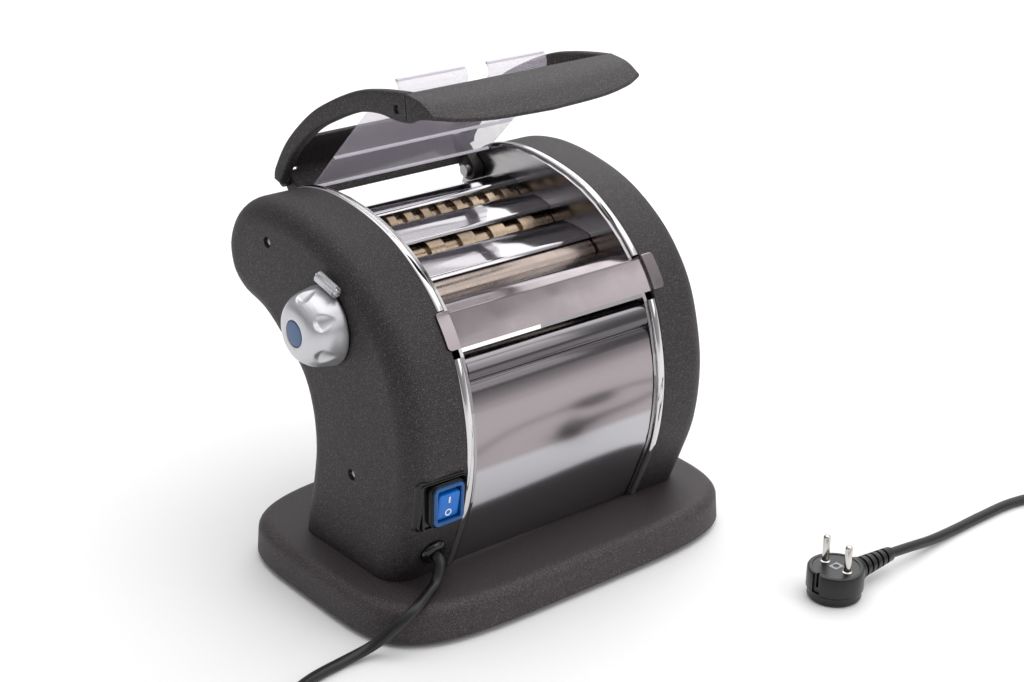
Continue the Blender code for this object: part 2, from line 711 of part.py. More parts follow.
SMOOTH_TEETH = PAIR_TEETH["smooth"]
FINE_TEETH = PAIR_TEETH["fine_cutter"]
WIDE_TEETH = PAIR_TEETH["wide_cutter"]
train = {"fixed_smooth": (SMOOTH_TEETH, UPPER["smooth"], 0.0)}
for gear_name, teeth, axis, driver in (
    ("adjustable_smooth", SMOOTH_TEETH, LOWER["smooth"], "fixed_smooth"),
    ("front_idler", FRONT_IDLER_TEETH, FRONT_IDLER_AXIS, "fixed_smooth"),
    ("wide_cutter_upper", WIDE_TEETH, UPPER["wide_cutter"], "front_idler"),
    ("wide_cutter_lower", WIDE_TEETH, LOWER["wide_cutter"], "wide_cutter_upper"),
    ("rear_idler", REAR_IDLER_TEETH, REAR_IDLER_AXIS, "wide_cutter_upper"),
    ("fine_cutter_upper", FINE_TEETH, UPPER["fine_cutter"], "rear_idler"),
    ("fine_cutter_lower", FINE_TEETH, LOWER["fine_cutter"], "fine_cutter_upper"),
    ("reduction_small", REDUCTION_SMALL_TEETH, REDUCTION_AXIS, "fixed_smooth"),
):
    train[gear_name] = (teeth, axis, meshed(teeth, axis, *train[driver]))

JOURNAL_BORE = JOURNAL_RADIUS + CLEARANCE
for gear_name in ("fixed_smooth", "wide_cutter_upper", "fine_cutter_upper"):
    teeth, axis, phase = train[gear_name]
    gear(f"{gear_name}_gear", teeth, FIRST_PLANE, SECOND_PLANE + GEAR_WIDTH, axis, phase, JOURNAL_BORE)
for gear_name in ("wide_cutter_lower", "fine_cutter_lower"):
    teeth, axis, phase = train[gear_name]
    gear(f"{gear_name}_gear", teeth, FIRST_PLANE, FIRST_PLANE + GEAR_WIDTH, axis, phase, JOURNAL_BORE)
for gear_name in ("front_idler", "rear_idler"):
    teeth, axis, phase = train[gear_name]
    gear(f"{gear_name}_gear", teeth, SECOND_PLANE, SECOND_PLANE + GEAR_WIDTH, axis, phase,
         STUD_RADIUS + CLEARANCE, material="nylon")
teeth, axis, phase = train["adjustable_smooth"]
gear("adjustable_smooth_gear", teeth, FIRST_PLANE, FIRST_PLANE + GEAR_WIDTH, axis, phase,
     HOLLOW_JOURNAL_RADIUS + CLEARANCE)


def make_reduction_gear():
    teeth, axis, phase = train["reduction_small"]
    large = gear("reduction_gear", REDUCTION_LARGE_TEETH, THIRD_PLANE, THIRD_PLANE + GEAR_WIDTH,
                 axis, 0.0, 0.0, DRIVE_MODULE, "nylon")
    small = gear("reduction_small", teeth, SECOND_PLANE, THIRD_PLANE + GEAR_GAP, axis, phase, 0.0)
    join(large, [small])
    cut(large, turned("reduction_bore", solid_stations([
        (SECOND_PLANE - OVERRUN, STUD_RADIUS + CLEARANCE),
        (THIRD_PLANE + GEAR_WIDTH + OVERRUN, STUD_RADIUS + CLEARANCE)]),
        "steel", axis.x, axis.y, steps=16, hidden=True))


make_reduction_gear()

# Gear motor between the side plates, its shaft with the pinion, and the chute
# that carries the dough forward over it
MOTOR_RADIUS = 22.5 * MM
MOTOR_FLANGE_RADIUS = 23.5 * MM
MOTOR_FLANGE_WIDTH = 9.0 * MM
MOTOR_LEFT_X = -60.0 * MM
MOTOR_BORE_DEPTH = 35.0 * MM
CHUTE_GAP = 0.9 * MM


def make_motor():
    bore = STUD_RADIUS + CLEARANCE
    bottom = SHEET_HALF_X - MOTOR_BORE_DEPTH
    turned("gear_motor", [
        (MOTOR_LEFT_X, 0.0), (MOTOR_LEFT_X, MOTOR_RADIUS),
        (SHEET_HALF_X - MOTOR_FLANGE_WIDTH, MOTOR_RADIUS),
        (SHEET_HALF_X - MOTOR_FLANGE_WIDTH, MOTOR_FLANGE_RADIUS),
        (SHEET_HALF_X, MOTOR_FLANGE_RADIUS), (SHEET_HALF_X, bore), (bottom, bore), (bottom, 0.0),
    ], "black", MOTOR_AXIS.x, MOTOR_AXIS.y)
    phase = meshed(MOTOR_TEETH, MOTOR_AXIS, REDUCTION_LARGE_TEETH, REDUCTION_AXIS, 0.0)
    pinion = gear("motor_shaft_pinion", MOTOR_TEETH, THIRD_PLANE, THIRD_PLANE + GEAR_WIDTH,
                  MOTOR_AXIS, phase, 0.0, DRIVE_MODULE)
    join(pinion, [turned("motor_shaft", solid_stations([
        (bottom + CLEARANCE, STUD_RADIUS), (THIRD_PLANE + GEAR_WIDTH / 2, STUD_RADIUS)]),
        "steel", MOTOR_AXIS.x, MOTOR_AXIS.y, steps=12)])


def make_chute():
    """A sheet that falls from the rear to the front and just clears the motor."""
    front = on_body(chute_shares["front"])
    rear_y = BODY_FRONT + chute_shares["rear"] * BODY_DEPTH
    to_motor = MOTOR_AXIS - front
    clear = MOTOR_FLANGE_RADIUS + SHEET + CHUTE_GAP
    way = direction(front, MOTOR_AXIS) + math.asin(clear / to_motor.length)
    rear = Vector((rear_y, front.y + math.tan(way) * (rear_y - front.x)))
    bent_sheet("outlet_chute", [front, rear], "steel")


make_motor()
make_chute()

# Knob, spindle and snail cam in the left cap, and the shaft that the cam pushes
CAM_START_X = 100.0 * MM
CAM_WIDTH = 6.0 * MM
CAM_STEPS = 48
CAM_MARGIN = math.radians(12.0)
KNOB_TURN = math.radians(150.0)
SHAFT_IN_KNOB = 17.0 * MM
SHAFT_PAST_PLATE = 3.0 * MM
KNOB_RADIUS = 26.0 * MM
KNOB_FACE_RADIUS = 17.5 * MM
KNOB_RIM_WIDTH = 15.0 * MM
KNOB_LENGTH = 24.5 * MM
KNOB_SEAT = 0.5 * MM
KNOB_LIP = 1.5 * MM
INSERT_RADIUS = 8.5 * MM
INSERT_DEPTH = 2.5 * MM
DIMPLE_RADIUS = 7.5 * MM
DIMPLE_COUNT = 6
dimple_place_share = 1.12


def snail_loop():
    """The cam's outline: its radius grows as the knob's turn brings it to the shaft."""
    contact = KNOB_WAY + math.pi
    least = KNOB_REACH - STUD_RADIUS - CLEARANCE
    most = (KNOB_AXIS - LOWER["smooth"] + NIP_WAY * THICKNESS_TRAVEL).length - STUD_RADIUS - CLEARANCE
    loop = []
    for k in range(CAM_STEPS):
        back = 2 * math.pi * k / CAM_STEPS
        if back < KNOB_TURN:
            radius = least + (most - least) * back / KNOB_TURN
        elif back < KNOB_TURN + CAM_MARGIN:
            radius = most
        else:
            radius = least
        angle = contact - back
        loop.append(Vector((radius * math.cos(angle), radius * math.sin(angle))))
    return loop


def make_thickness_setting():
    outer = -(CAM_START_X + CAM_WIDTH)
    wheel = slab("regulator_shaft", [snail_loop()], -CAM_START_X, outer, "steel")
    wheel.location = (0.0, *KNOB_AXIS)
    join(wheel, [turned("regulator_spindle", solid_stations([
        (-CAP_FACE_X - SHAFT_IN_KNOB, STUD_RADIUS),
        (-PLATE_INNER_X + SHAFT_PAST_PLATE, STUD_RADIUS)]),
        "steel", KNOB_AXIS.x, KNOB_AXIS.y, steps=16)])
    turned("roller_shaft", solid_stations([
        (outer, STUD_RADIUS), (FIRST_PLANE + GEAR_WIDTH + STUD_PROUD, STUD_RADIUS)]),
        "steel", LOWER["smooth"].x, LOWER["smooth"].y, steps=16)
    cut(left_cap, turned("spindle_hole", solid_stations([
        (-CAP_FACE_X - OVERRUN, STUD_RADIUS + CLEARANCE),
        (-CAP_FACE_X + CAP_WALL + OVERRUN, STUD_RADIUS + CLEARANCE)]),
        "steel", KNOB_AXIS.x, KNOB_AXIS.y, steps=16, hidden=True))


def make_knob():
    back = -CAP_FACE_X - KNOB_SEAT
    face = back - KNOB_LENGTH
    bore = STUD_RADIUS + CLEARANCE
    bore_end = -CAP_FACE_X - SHAFT_IN_KNOB - CLEARANCE
    knob = turned("regulator_knob", [
        (bore_end, 0.0), (bore_end, bore), (back, bore), (back, KNOB_RADIUS - KNOB_LIP),
        (back - KNOB_LIP, KNOB_RADIUS), (back - KNOB_RIM_WIDTH, KNOB_RADIUS - KNOB_LIP),
        (face + KNOB_LIP, KNOB_FACE_RADIUS + KNOB_LIP), (face, KNOB_FACE_RADIUS),
        (face, INSERT_RADIUS + CLEARANCE), (face + INSERT_DEPTH, INSERT_RADIUS + CLEARANCE),
        (face + INSERT_DEPTH, 0.0),
    ], "satin", KNOB_AXIS.x, KNOB_AXIS.y, steps=30)
    for k in range(DIMPLE_COUNT):
        angle = 2 * math.pi * (k + 0.5) / DIMPLE_COUNT
        cut(knob, turned(f"finger_dimple_{k + 1}", solid_stations([
            (face - OVERRUN, DIMPLE_RADIUS), (back - KNOB_LIP - KNOB_SEAT, DIMPLE_RADIUS)]),
            "satin",
            KNOB_AXIS.x + KNOB_RADIUS * dimple_place_share * math.cos(angle),
            KNOB_AXIS.y + KNOB_RADIUS * dimple_place_share * math.sin(angle),
            steps=8, hidden=True))
    turned("knob_insert", solid_stations([
        (face, INSERT_RADIUS), (face + INSERT_DEPTH - CLEARANCE, INSERT_RADIUS)]),
        "blue", KNOB_AXIS.x, KNOB_AXIS.y, steps=20)


make_thickness_setting()
make_knob()

# Index block beside the knob, square to the line from the knob's axis
BLOCK_LENGTH = 24.0 * MM
BLOCK_HEIGHT = 8.0 * MM
BLOCK_DEPTH = 7.0 * MM
BLOCK_GAP = 0.8 * MM
BLOCK_ROUNDING = 1.0 * MM
BLOCK_WAY = math.radians(104.0)
block = box("knob_index_block", (-BLOCK_DEPTH / 2, -BLOCK_LENGTH / 2, -BLOCK_HEIGHT / 2),
            (BLOCK_DEPTH / 2, BLOCK_LENGTH / 2, BLOCK_HEIGHT / 2), "anthracite",
            rounded=BLOCK_ROUNDING)
block_reach = KNOB_RADIUS + BLOCK_GAP + BLOCK_HEIGHT / 2
block.location = (-CAP_FACE_X - CLEARANCE - BLOCK_DEPTH / 2,
                  KNOB_AXIS.x + block_reach * math.cos(BLOCK_WAY),
                  KNOB_AXIS.y + block_reach * math.sin(BLOCK_WAY))
block.rotation_euler = (BLOCK_WAY - math.pi / 2, 0.0, 0.0)

# Switch in the left cap: housing, sprung cover and rocker
SWITCH_LEFT_X = -116.2 * MM
SWITCH_RIGHT_X = -85.9 * MM
SWITCH_HEIGHT = 32.4 * MM
SWITCH_MIDDLE_Z = 89.0 * MM
SWITCH_FACE_Y = -77.5 * MM
SWITCH_DEPTH = 17.5 * MM
SWITCH_FLOOR = 3.0 * MM
COVER_LEFT_X = -111.0 * MM
COVER_RIGHT_X = -87.6 * MM
COVER_HEIGHT = 27.5 * MM
COVER_PROUD = 5.5 * MM
COVER_WALL = 1.3 * MM
COVER_ROUNDING = 1.0 * MM
ROCKER_PROUD = 3.0 * MM
ROCKER_DEPTH = 11.0 * MM
ROCKER_PLAY = 0.7 * MM
ROCKER_AXIS_DEPTH = 4.5 * MM
ROCKER_TILT = math.radians(7.0)


def switch_box(name, left, right, height, front, back, material="black", parent=None, hidden=False):
    return box(name, (left, front, SWITCH_MIDDLE_Z - height / 2),
               (right, back, SWITCH_MIDDLE_Z + height / 2), material, parent, hidden)


def make_switch():
    back = SWITCH_FACE_Y + SWITCH_DEPTH
    floor = back - SWITCH_FLOOR
    cut(left_cap, switch_box(
        "switch_hole", SWITCH_LEFT_X - CLEARANCE, SWITCH_RIGHT_X + CLEARANCE,
        SWITCH_HEIGHT + 2 * CLEARANCE, BODY_FRONT - OVERRUN, back, hidden=True))
    housing = switch_box("switch_housing", SWITCH_LEFT_X, SWITCH_RIGHT_X, SWITCH_HEIGHT,
                         SWITCH_FACE_Y, back)
    cut(housing, switch_box(
        "switch_well", COVER_LEFT_X - CLEARANCE, COVER_RIGHT_X + CLEARANCE,
        COVER_HEIGHT + 2 * CLEARANCE, SWITCH_FACE_Y - OVERRUN, floor, hidden=True))
    cover_front = SWITCH_FACE_Y - COVER_PROUD
    cover = switch_box("switch_cover", COVER_LEFT_X, COVER_RIGHT_X, COVER_HEIGHT,
                       cover_front, floor - CLEARANCE, "blue")
    bevel(cover, COVER_ROUNDING, 1)
    rocker_left = COVER_LEFT_X + COVER_WALL + ROCKER_PLAY
    rocker_right = COVER_RIGHT_X - COVER_WALL - ROCKER_PLAY
    cut(cover, switch_box(
        "rocker_well", COVER_LEFT_X + COVER_WALL, COVER_RIGHT_X - COVER_WALL,
        COVER_HEIGHT - 2 * COVER_WALL, cover_front - OVERRUN, floor, hidden=True))
    axis_y = SWITCH_FACE_Y + ROCKER_AXIS_DEPTH
    hinge = axle("rocker_axle", axis_y, SWITCH_MIDDLE_Z)
    front = SWITCH_FACE_Y - ROCKER_PROUD
    rocker = switch_box("switch_rocker", rocker_left, rocker_right,
                        COVER_HEIGHT - 2 * (COVER_WALL + ROCKER_PLAY) - ROCKER_PLAY,
                        front, front + ROCKER_DEPTH, "blue", hinge)
    hinge.rotation_euler = (ROCKER_TILT, 0.0, 0.0)
    return rocker


make_switch()

# Cord grommet through the front of the left cap, square to its skin
GROMMET_X = -101.0 * MM
GROMMET_INDEX = 1
GROMMET_RADIUS = 6.0 * MM
GROMMET_HEAD_RADIUS = 8.5 * MM
GROMMET_HEAD = 3.0 * MM
GROMMET_INSIDE = 7.0 * MM
CORD_RADIUS = 3.5 * MM
CORD_LIFT = 0.1 * MM
CORD_JOINT = 0.9 * MM


def towards(obj, point, way):
    """A turned piece moved so that its stations run from the point along the way."""
    obj.location = point
    obj.rotation_euler = Vector(way).to_track_quat("-Z", "Y").to_euler()
    return obj


def make_grommet():
    middle = on_body(outline_shares[GROMMET_INDEX])
    rise = on_body(outline_shares[GROMMET_INDEX + 1]) - on_body(outline_shares[GROMMET_INDEX - 1])
    way = Vector((0.0, -rise.y, rise.x)).normalized()
    point = (GROMMET_X, middle.x, middle.y)
    bore = CORD_RADIUS + CLEARANCE
    towards(turned("cord_grommet", [
        (-GROMMET_INSIDE, bore), (-GROMMET_INSIDE, GROMMET_RADIUS), (CLEARANCE, GROMMET_RADIUS),
        (CLEARANCE, GROMMET_HEAD_RADIUS), (GROMMET_HEAD, GROMMET_HEAD_RADIUS),
        (GROMMET_HEAD, bore),
    ], "black", 0.0, 0.0, steps=16, hollow=True), point, way)
    cut(left_cap, towards(turned("grommet_hole", solid_stations([
        (-GROMMET_INSIDE - OVERRUN, GROMMET_RADIUS + CLEARANCE),
        (GROMMET_HEAD + OVERRUN, GROMMET_RADIUS + CLEARANCE)]),
        "black", 0.0, 0.0, steps=16, hidden=True), point, way))


make_grommet()

# Lid: places along and up from the hinge, as shares of its reach and rise
LID_ARM_INNER_X = 75.0 * MM
LID_ARM_OUTER_X = 83.0 * MM
LID_ARM_THICKNESS = 15.0 * MM
LUG_WIDTH = 8.7 * MM
LUG_RADIUS = 8.0 * MM
LUG_ROOT_RADIUS = 5.2 * MM
LUG_BAR_RADIUS = 5.0 * MM
PIN_HEAD_RADIUS = 5.0 * MM
PIN_HEAD_WIDTH = 3.7 * MM
PIN_PAST_PLATE = 4.0 * MM
PANEL_THICKNESS = 2.5 * MM
PANEL_OVER_LUG = 2.0 * MM
WINDOW_THICKNESS = 2.0 * MM
CURL_RADIUS = 7.0 * MM
arm_shares = (
    (-0.105, 0.152, 0.36), (-0.091, 0.221, 0.37), (-0.003, 0.406, 0.38), (0.152, 0.608, 0.40),
    (0.300, 0.735, 0.43), (0.470, 0.846, 0.45), (0.606, 0.892, 0.50), (0.727, 0.906, 0.62),
    (0.797, 0.917, 0.63),
)
panel_shares = ((-0.042, 0.037), (-0.103, 0.157), (-0.079, 0.286), (0.000, 0.442))
window_shares = ((0.076, 0.170), (0.239, 0.424), (0.521, 0.848))
curl_shares = ((-0.80, -0.08), (0.16, 0.80))
curl_ends = (math.radians(-75.0), math.radians(-235.0))
visor_middle_shares = (
    (0.793, 1.003), (0.933, 0.968), (1.045, 0.881), (1.040, 0.860), (0.933, 0.935), (0.797, 0.970),
)
visor_end_shares = (
    (0.793, 1.003), (0.891, 0.982), (0.964, 0.926), (0.960, 0.905), (0.897, 0.885), (0.805, 0.832),
)
visor_blend_shares = ((0.0, 0.0, 0.0), (0.5, 0.16, 0.0), (0.8, 0.5, 0.08), (0.93, 0.8, 0.6), (1.0, 1.0, 1.0))
LID = axle("lid_axle", HINGE_Y, HINGE_Z)


def on_lid(shares):
    """A point of the lid's side view from its shares of the reach and rise."""
    return Vector((HINGE_Y - shares[0] * LID_REACH, HINGE_Z + shares[1] * LID_RISE))


def tapered(line):
    """A closed outline round a line of points that carry their half thickness."""
    upper, lower = [], []
    for i, (y, z, half) in enumerate(line):
        before, after = line[max(i - 1, 0)], line[min(i + 1, len(line) - 1)]
        way = Vector((after.x - before.x, after.y - before.y)).normalized()
        aside = Vector((-way.y, way.x)) * half
        upper.append(Vector((y, z)) + aside)
        lower.append(Vector((y, z)) - aside)
    return upper + lower[::-1]


def make_lid_arm(name, side):
    line = smooth([Vector((*on_lid(share[:2]), share[2] * LID_ARM_THICKNESS))
                   for share in arm_shares])
    arm = slab(name, [tapered(line)], side * LID_ARM_INNER_X, side * LID_ARM_OUTER_X,
               "anthracite", LID)
    root = on_lid(arm_shares[0][:2])
    hinge = Vector((HINGE_Y, HINGE_Z))
    way = direction(hinge, root)
    half_turn = math.pi / 8
    lug_loop = [hinge + Vector((math.cos(a), math.sin(a))) * LUG_RADIUS
                for a in (way + math.pi / 2 + k * half_turn for k in range(9))]
    lug_loop += [root + Vector((math.cos(a), math.sin(a))) * LUG_ROOT_RADIUS
                 for a in (way - math.pi / 2 + k * half_turn for k in range(9))]
    inner = PLATE_INNER_X - CLEARANCE - LUG_WIDTH
    lug = slab(f"{name}_lug", [lug_loop, circle(HINGE_PIN_RADIUS + CLEARANCE, *hinge, 12)],
               side * inner, side * (PLATE_INNER_X - CLEARANCE), "anthracite", LID)
    xs = (inner + LUG_WIDTH / 2, (LID_ARM_INNER_X + LID_ARM_OUTER_X) / 2)
    bar = turned(f"{name}_bar",
                 solid_stations(mirrored([(x, LUG_BAR_RADIUS) for x in xs], side)),
                 "anthracite", root.x, root.y, steps=12)
    join(arm, [lug, bar])
    head = inner - CLEARANCE
    hand = "left" if side < 0 else "right"
    pin = [(head - PIN_HEAD_WIDTH, PIN_HEAD_RADIUS), (head, PIN_HEAD_RADIUS),
           (head, HINGE_PIN_RADIUS), (PLATE_OUTER_X + PIN_PAST_PLATE, HINGE_PIN_RADIUS)]
    turned(f"hinge_pin_{hand}", solid_stations(mirrored(pin, side)), "steel",
           HINGE_Y, HINGE_Z, steps=12)


def make_visor():
    """The front of the lid: a thin shade, deep at both ends where it meets the arms."""
    sections = []
    table = [(-x, a, b) for x, a, b in visor_blend_shares[:0:-1]] + list(visor_blend_shares)
    for x, forward, deep in table:
        section = []
        for k, (middle, end) in enumerate(zip(visor_middle_shares, visor_end_shares)):
            blend = deep if k in (0, 4, 5) else forward
            y, z = on_lid(Vector(middle).lerp(Vector(end), blend))
            section.append((x * LID_ARM_OUTER_X, y, z))
        sections.append(section)
    loft("lid_visor", sections, "anthracite", LID)


def make_rear_panel():
    panel = bent_sheet("lid_rear_panel", [on_lid(share) for share in panel_shares], "anthracite",
                       LID_ARM_INNER_X - CLEARANCE, PANEL_THICKNESS, LID)
    top = on_lid(arm_shares[0][:2]).y + LUG_ROOT_RADIUS + PANEL_OVER_LUG
    inner = PLATE_INNER_X - 2 * CLEARANCE - LUG_WIDTH
    for side, hand in ((-1, "left"), (1, "right")):
        xs = sorted((side * inner, side * (PLATE_INNER_X + OVERRUN)))
        cut(panel, box(f"beside_{hand}_lug", (xs[0], HINGE_Y, HINGE_Z),
                       (xs[1], HINGE_Y + LUG_RADIUS * 3, top), "anthracite", LID, hidden=True))


def make_window():
    """The clear sheet between the arms, curled into two finger grips at its top."""
    half = LID_ARM_INNER_X - CLEARANCE
    sheet = bent_sheet("lid_window", [on_lid(share) for share in window_shares[::-1]], "clear",
                       half, WINDOW_THICKNESS, LID)
    top = on_lid(window_shares[-1])
    middle = top + Vector((0.0, CURL_RADIUS))
    curls = []
    for number, (left, right) in enumerate(curl_shares):
        line = [middle + Vector((math.cos(a), math.sin(a))) * CURL_RADIUS
                for a in (curl_ends[0] + (curl_ends[1] - curl_ends[0]) * k / 10 for k in range(11))]
        curls.append(slab(f"window_curl_{number}",
                          [band(line, WINDOW_THICKNESS / 2, -WINDOW_THICKNESS / 2)],
                          left * half, right * half, "clear", LID))
    join(sheet, curls)


make_lid_arm("lid_arm_left", -1)
make_lid_arm("lid_arm_right", 1)
make_visor()
make_rear_panel()
make_window()

# Mains cord: the lead out of the grommet, a stored coil and the tail to the plug
lead_route = [(x * MM, y * MM, z * MM) for x, y, z in (
    (-101.0, -58.6, 52.8), (-101.0, -66.1, 49.9), (-101.0, -70.8, 48.1), (-101.6, -75.0, 44.6),
    (-107.5, -78.5, 35.0), (-116.3, -82.5, 32.4), (-131.2, -90.0, 30.6), (-142.3, -89.5, 24.0),
    (-152.0, -83.0, 13.0), (-162.0, -78.5, 6.5), (-180.6, -77.6, 3.7), (-206.0, -81.5, 3.6),
    (-224.0, -90.0, 3.6), (-235.0, -106.0, 3.6), (-234.0, -126.0, 3.6), (-221.0, -141.0, 3.6),
    (-198.0, -151.0, 3.6), (-160.0, -164.0, 3.6), (-115.0, -187.0, 3.6), (-40.0, -242.0, 3.6),
    (35.0, -303.0, 3.6), (84.0, -341.0, 3.6), (126.0, -359.5, 3.6), (160.0, -361.0, 3.6),
    (210.0, -358.0, 3.6),
)]
tail_route = [(x * MM, y * MM, z * MM) for x, y, z in (
    (276.0, -356.2, 11.2), (292.0, -354.0, 8.8), (310.0, -347.0, 5.2), (328.0, -336.0, 3.6),
    (345.0, -319.0, 3.6), (357.0, -297.0, 3.6), (363.0, -272.0, 3.6), (363.0, -247.0, 3.6),
    (356.0, -224.0, 3.6), (341.0, -209.0, 3.6), (317.0, -203.0, 3.6), (290.0, -202.5, 3.6),
    (260.0, -203.2, 3.6),
    (228.0, -205.0, 5.5), (202.0, -206.8, 9.6), (180.6, -207.0, 12.0),
)]
COIL_MIDDLE = Vector((258.0 * MM, -318.0 * MM))
COIL_RADIUS = 38.0 * MM
COIL_PITCH = 7.6 * MM
COIL_LAYER_RISE = 7.6 * MM
COIL_LAYER_TURNS = 1.5
COIL_LAYERS = 2
COIL_STEPS = 24
COIL_START = math.radians(-90.0)
COIL_CLIMB_TURNS = 0.3


def coil_route():
    """One unbroken line: in along the floor, up, and out on top of itself."""
    points = []
    turns = COIL_LAYER_TURNS * COIL_LAYERS
    for k in range(int(turns * COIL_STEPS) + 1):
        turn = k / COIL_STEPS
        inwards = min(turn, turns - turn)
        radius = COIL_RADIUS - COIL_PITCH * inwards
        climbed = min(max((turn - COIL_LAYER_TURNS) / COIL_CLIMB_TURNS + 0.5, 0.0), 1.0)
        angle = COIL_START + 2 * math.pi * turn
        points.append(Vector((
            COIL_MIDDLE.x + radius * math.cos(angle), COIL_MIDDLE.y + radius * math.sin(angle),
            CORD_RADIUS + CORD_LIFT + COIL_LAYER_RISE * climbed * climbed * (3 - 2 * climbed))))
    return points


def least_gap(points):
    """The least free space between stretches of the coil that aren't neighbours."""
    near = COIL_STEPS // 2
    return min((a - b).length for i, a in enumerate(points) for b in points[i + near:]
               ) - 2 * CORD_RADIUS


def shortened(points):
    """The line a little shorter at both ends, so that it clears what it meets."""
    first = points[0] + (points[1] - points[0]).normalized() * CORD_JOINT / 2
    last = points[-1] + (points[-2] - points[-1]).normalized() * CORD_JOINT / 2
    return [first, *points[1:-1], last]


def length(points):
    return sum((b - a).length for a, b in zip(points, points[1:]))


def tube(name, points):
    curve = bpy.data.curves.new(name, "CURVE")
    curve.dimensions = "3D"
    curve.bevel_depth = CORD_RADIUS
    curve.bevel_resolution = 1
    curve.use_fill_caps = True
    spline = curve.splines.new("POLY")
    spline.points.add(len(points) - 1)
    for point, place_now in zip(spline.points, points):
        point.co = (*place_now, 1.0)
    return place(bpy.data.objects.new(name, curve), name, "black")


def on_floor(points):
    return [Vector((x, y, max(z, CORD_RADIUS + CORD_LIFT))) for x, y, z in points]


def make_cord():
    coil = coil_route()
    lead = on_floor([*lead_route, coil[0]])
    tail = on_floor([coil[-1], *tail_route])
    tube("cord_lead", shortened(lead))
    tube("cord_coil", shortened(coil))
    tube("cord_tail", shortened(tail))
    print("coil gap", round(least_gap(coil) / MM, 2), "mm; cord length",
          round(length(lead) + length(coil) + length(tail), 3), "m")


make_cord()

# Plug: round and earthed, lying with its two pins up
PLUG_RADIUS = 19.0 * MM
PLUG_HEIGHT = 22.0 * MM
PLUG_EDGE = 2.0 * MM
PLUG_MIDDLE = (125.0 * MM, -207.0 * MM)
RELIEF_END_X = 180.0 * MM
RELIEF_Z = 12.0 * MM
RELIEF_RADIUS = 8.0 * MM
RELIEF_TIP_RADIUS = 5.0 * MM
PLUG_PIN_RADIUS = 2.4 * MM
PLUG_PIN_LENGTH = 19.0 * MM
PLUG_PIN_SPACING = 19.0 * MM


def make_plug():
    x, y = PLUG_MIDDLE
    up = (0.0, 0.0, 1.0)
    plug = towards(turned("mains_plug", solid_stations([
        (0.0, PLUG_RADIUS - PLUG_EDGE), (PLUG_EDGE, PLUG_RADIUS),
        (PLUG_HEIGHT - PLUG_EDGE, PLUG_RADIUS), (PLUG_HEIGHT, PLUG_RADIUS - PLUG_EDGE)]),
        "black", 0.0, 0.0, steps=24), (x, y, 0.0), up)
    relief = turned("plug_relief", solid_stations([
        (x + PLUG_RADIUS / 2, RELIEF_RADIUS), (x + PLUG_RADIUS * 1.2, RELIEF_RADIUS),
        (RELIEF_END_X, RELIEF_TIP_RADIUS)]), "black", y, RELIEF_Z, steps=12)
    pins = [towards(turned(f"plug_pin_{k + 1}", solid_stations([
        (PLUG_HEIGHT - PLUG_EDGE, PLUG_PIN_RADIUS),
        (PLUG_HEIGHT + PLUG_PIN_LENGTH, PLUG_PIN_RADIUS)]), "steel", 0.0, 0.0, steps=10),
        (x, y + side * PLUG_PIN_SPACING / 2, 0.0), up) for k, side in enumerate((-1, 1))]
    join(plug, [relief, *pins])


make_plug()

# The machine's box without its cord, moved to the middle of the world
LOOSE = ("cord_lead", "cord_coil", "cord_tail", "mains_plug")


def centre_machine():
    graph = bpy.context.evaluated_depsgraph_get()
    ys = []
    for obj in PARTS.objects:
        if obj.type != "EMPTY" and obj.name not in LOOSE:
            seen = obj.evaluated_get(graph)
            ys += [(seen.matrix_world @ Vector(corner)).y for corner in seen.bound_box]
    MACHINE.location.y = -(min(ys) + max(ys)) / 2
    bpy.context.view_layer.update()


centre_machine()
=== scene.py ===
"""The looks of an electric pasta maker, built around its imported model.

Metres, +Z up, rollers along X and the front towards -Y. Places that are given
in millimetres are measured from the middle of the base plate.
"""

import math

import bmesh
import bpy
from mathutils import Matrix, Vector


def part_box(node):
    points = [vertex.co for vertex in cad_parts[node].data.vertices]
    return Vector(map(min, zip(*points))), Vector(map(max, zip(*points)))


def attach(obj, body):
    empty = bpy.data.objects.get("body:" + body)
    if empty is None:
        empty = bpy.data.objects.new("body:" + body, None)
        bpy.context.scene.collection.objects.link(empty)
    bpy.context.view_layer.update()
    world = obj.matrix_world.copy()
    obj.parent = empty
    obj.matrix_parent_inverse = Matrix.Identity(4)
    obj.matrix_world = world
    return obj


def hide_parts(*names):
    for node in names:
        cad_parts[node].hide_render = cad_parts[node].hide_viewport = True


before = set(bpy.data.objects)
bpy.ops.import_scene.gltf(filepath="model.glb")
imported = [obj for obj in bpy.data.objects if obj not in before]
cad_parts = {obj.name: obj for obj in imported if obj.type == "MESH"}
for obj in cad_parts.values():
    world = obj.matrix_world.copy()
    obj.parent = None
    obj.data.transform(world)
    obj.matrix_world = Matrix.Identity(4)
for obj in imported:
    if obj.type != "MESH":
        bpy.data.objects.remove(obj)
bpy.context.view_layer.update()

# The studio: a pale floor that runs far back, a big soft box overhead and two
# softer ones at the right. The walls are grey, and darker on the left, so that
# bright metal has something to mirror. Nothing here belongs to the machine.
MM = 0.001
FLOOR_HALF = 9.0
FLOOR_COLOUR = (0.93, 0.93, 0.93, 1.0)
WALL_HEIGHTS = (0.0, 0.49, 0.50, 0.56, 0.66, 0.80, 0.92, 1.0)
WALL_GREYS = (0.55, 0.62, 0.40, 0.36, 0.42, 0.80, 1.05, 1.10)
WALL_GREEN = 0.985
WALLS_TO_THE_RIGHT = 0.38
WALLS_STRENGTH = 0.92
SOFT_BOXES = {
    "overhead": ((0.5, 0.2, 2.1), (0.0, 0.0, 0.0), 3.2, 32.0),
    "front_right": ((0.9, -1.9, 1.2), (0.0, 0.0, 0.1), 1.4, 9.0),
    "back_right": ((1.7, 1.2, 1.3), (0.0, 0.0, 0.15), 1.2, 6.0),
}


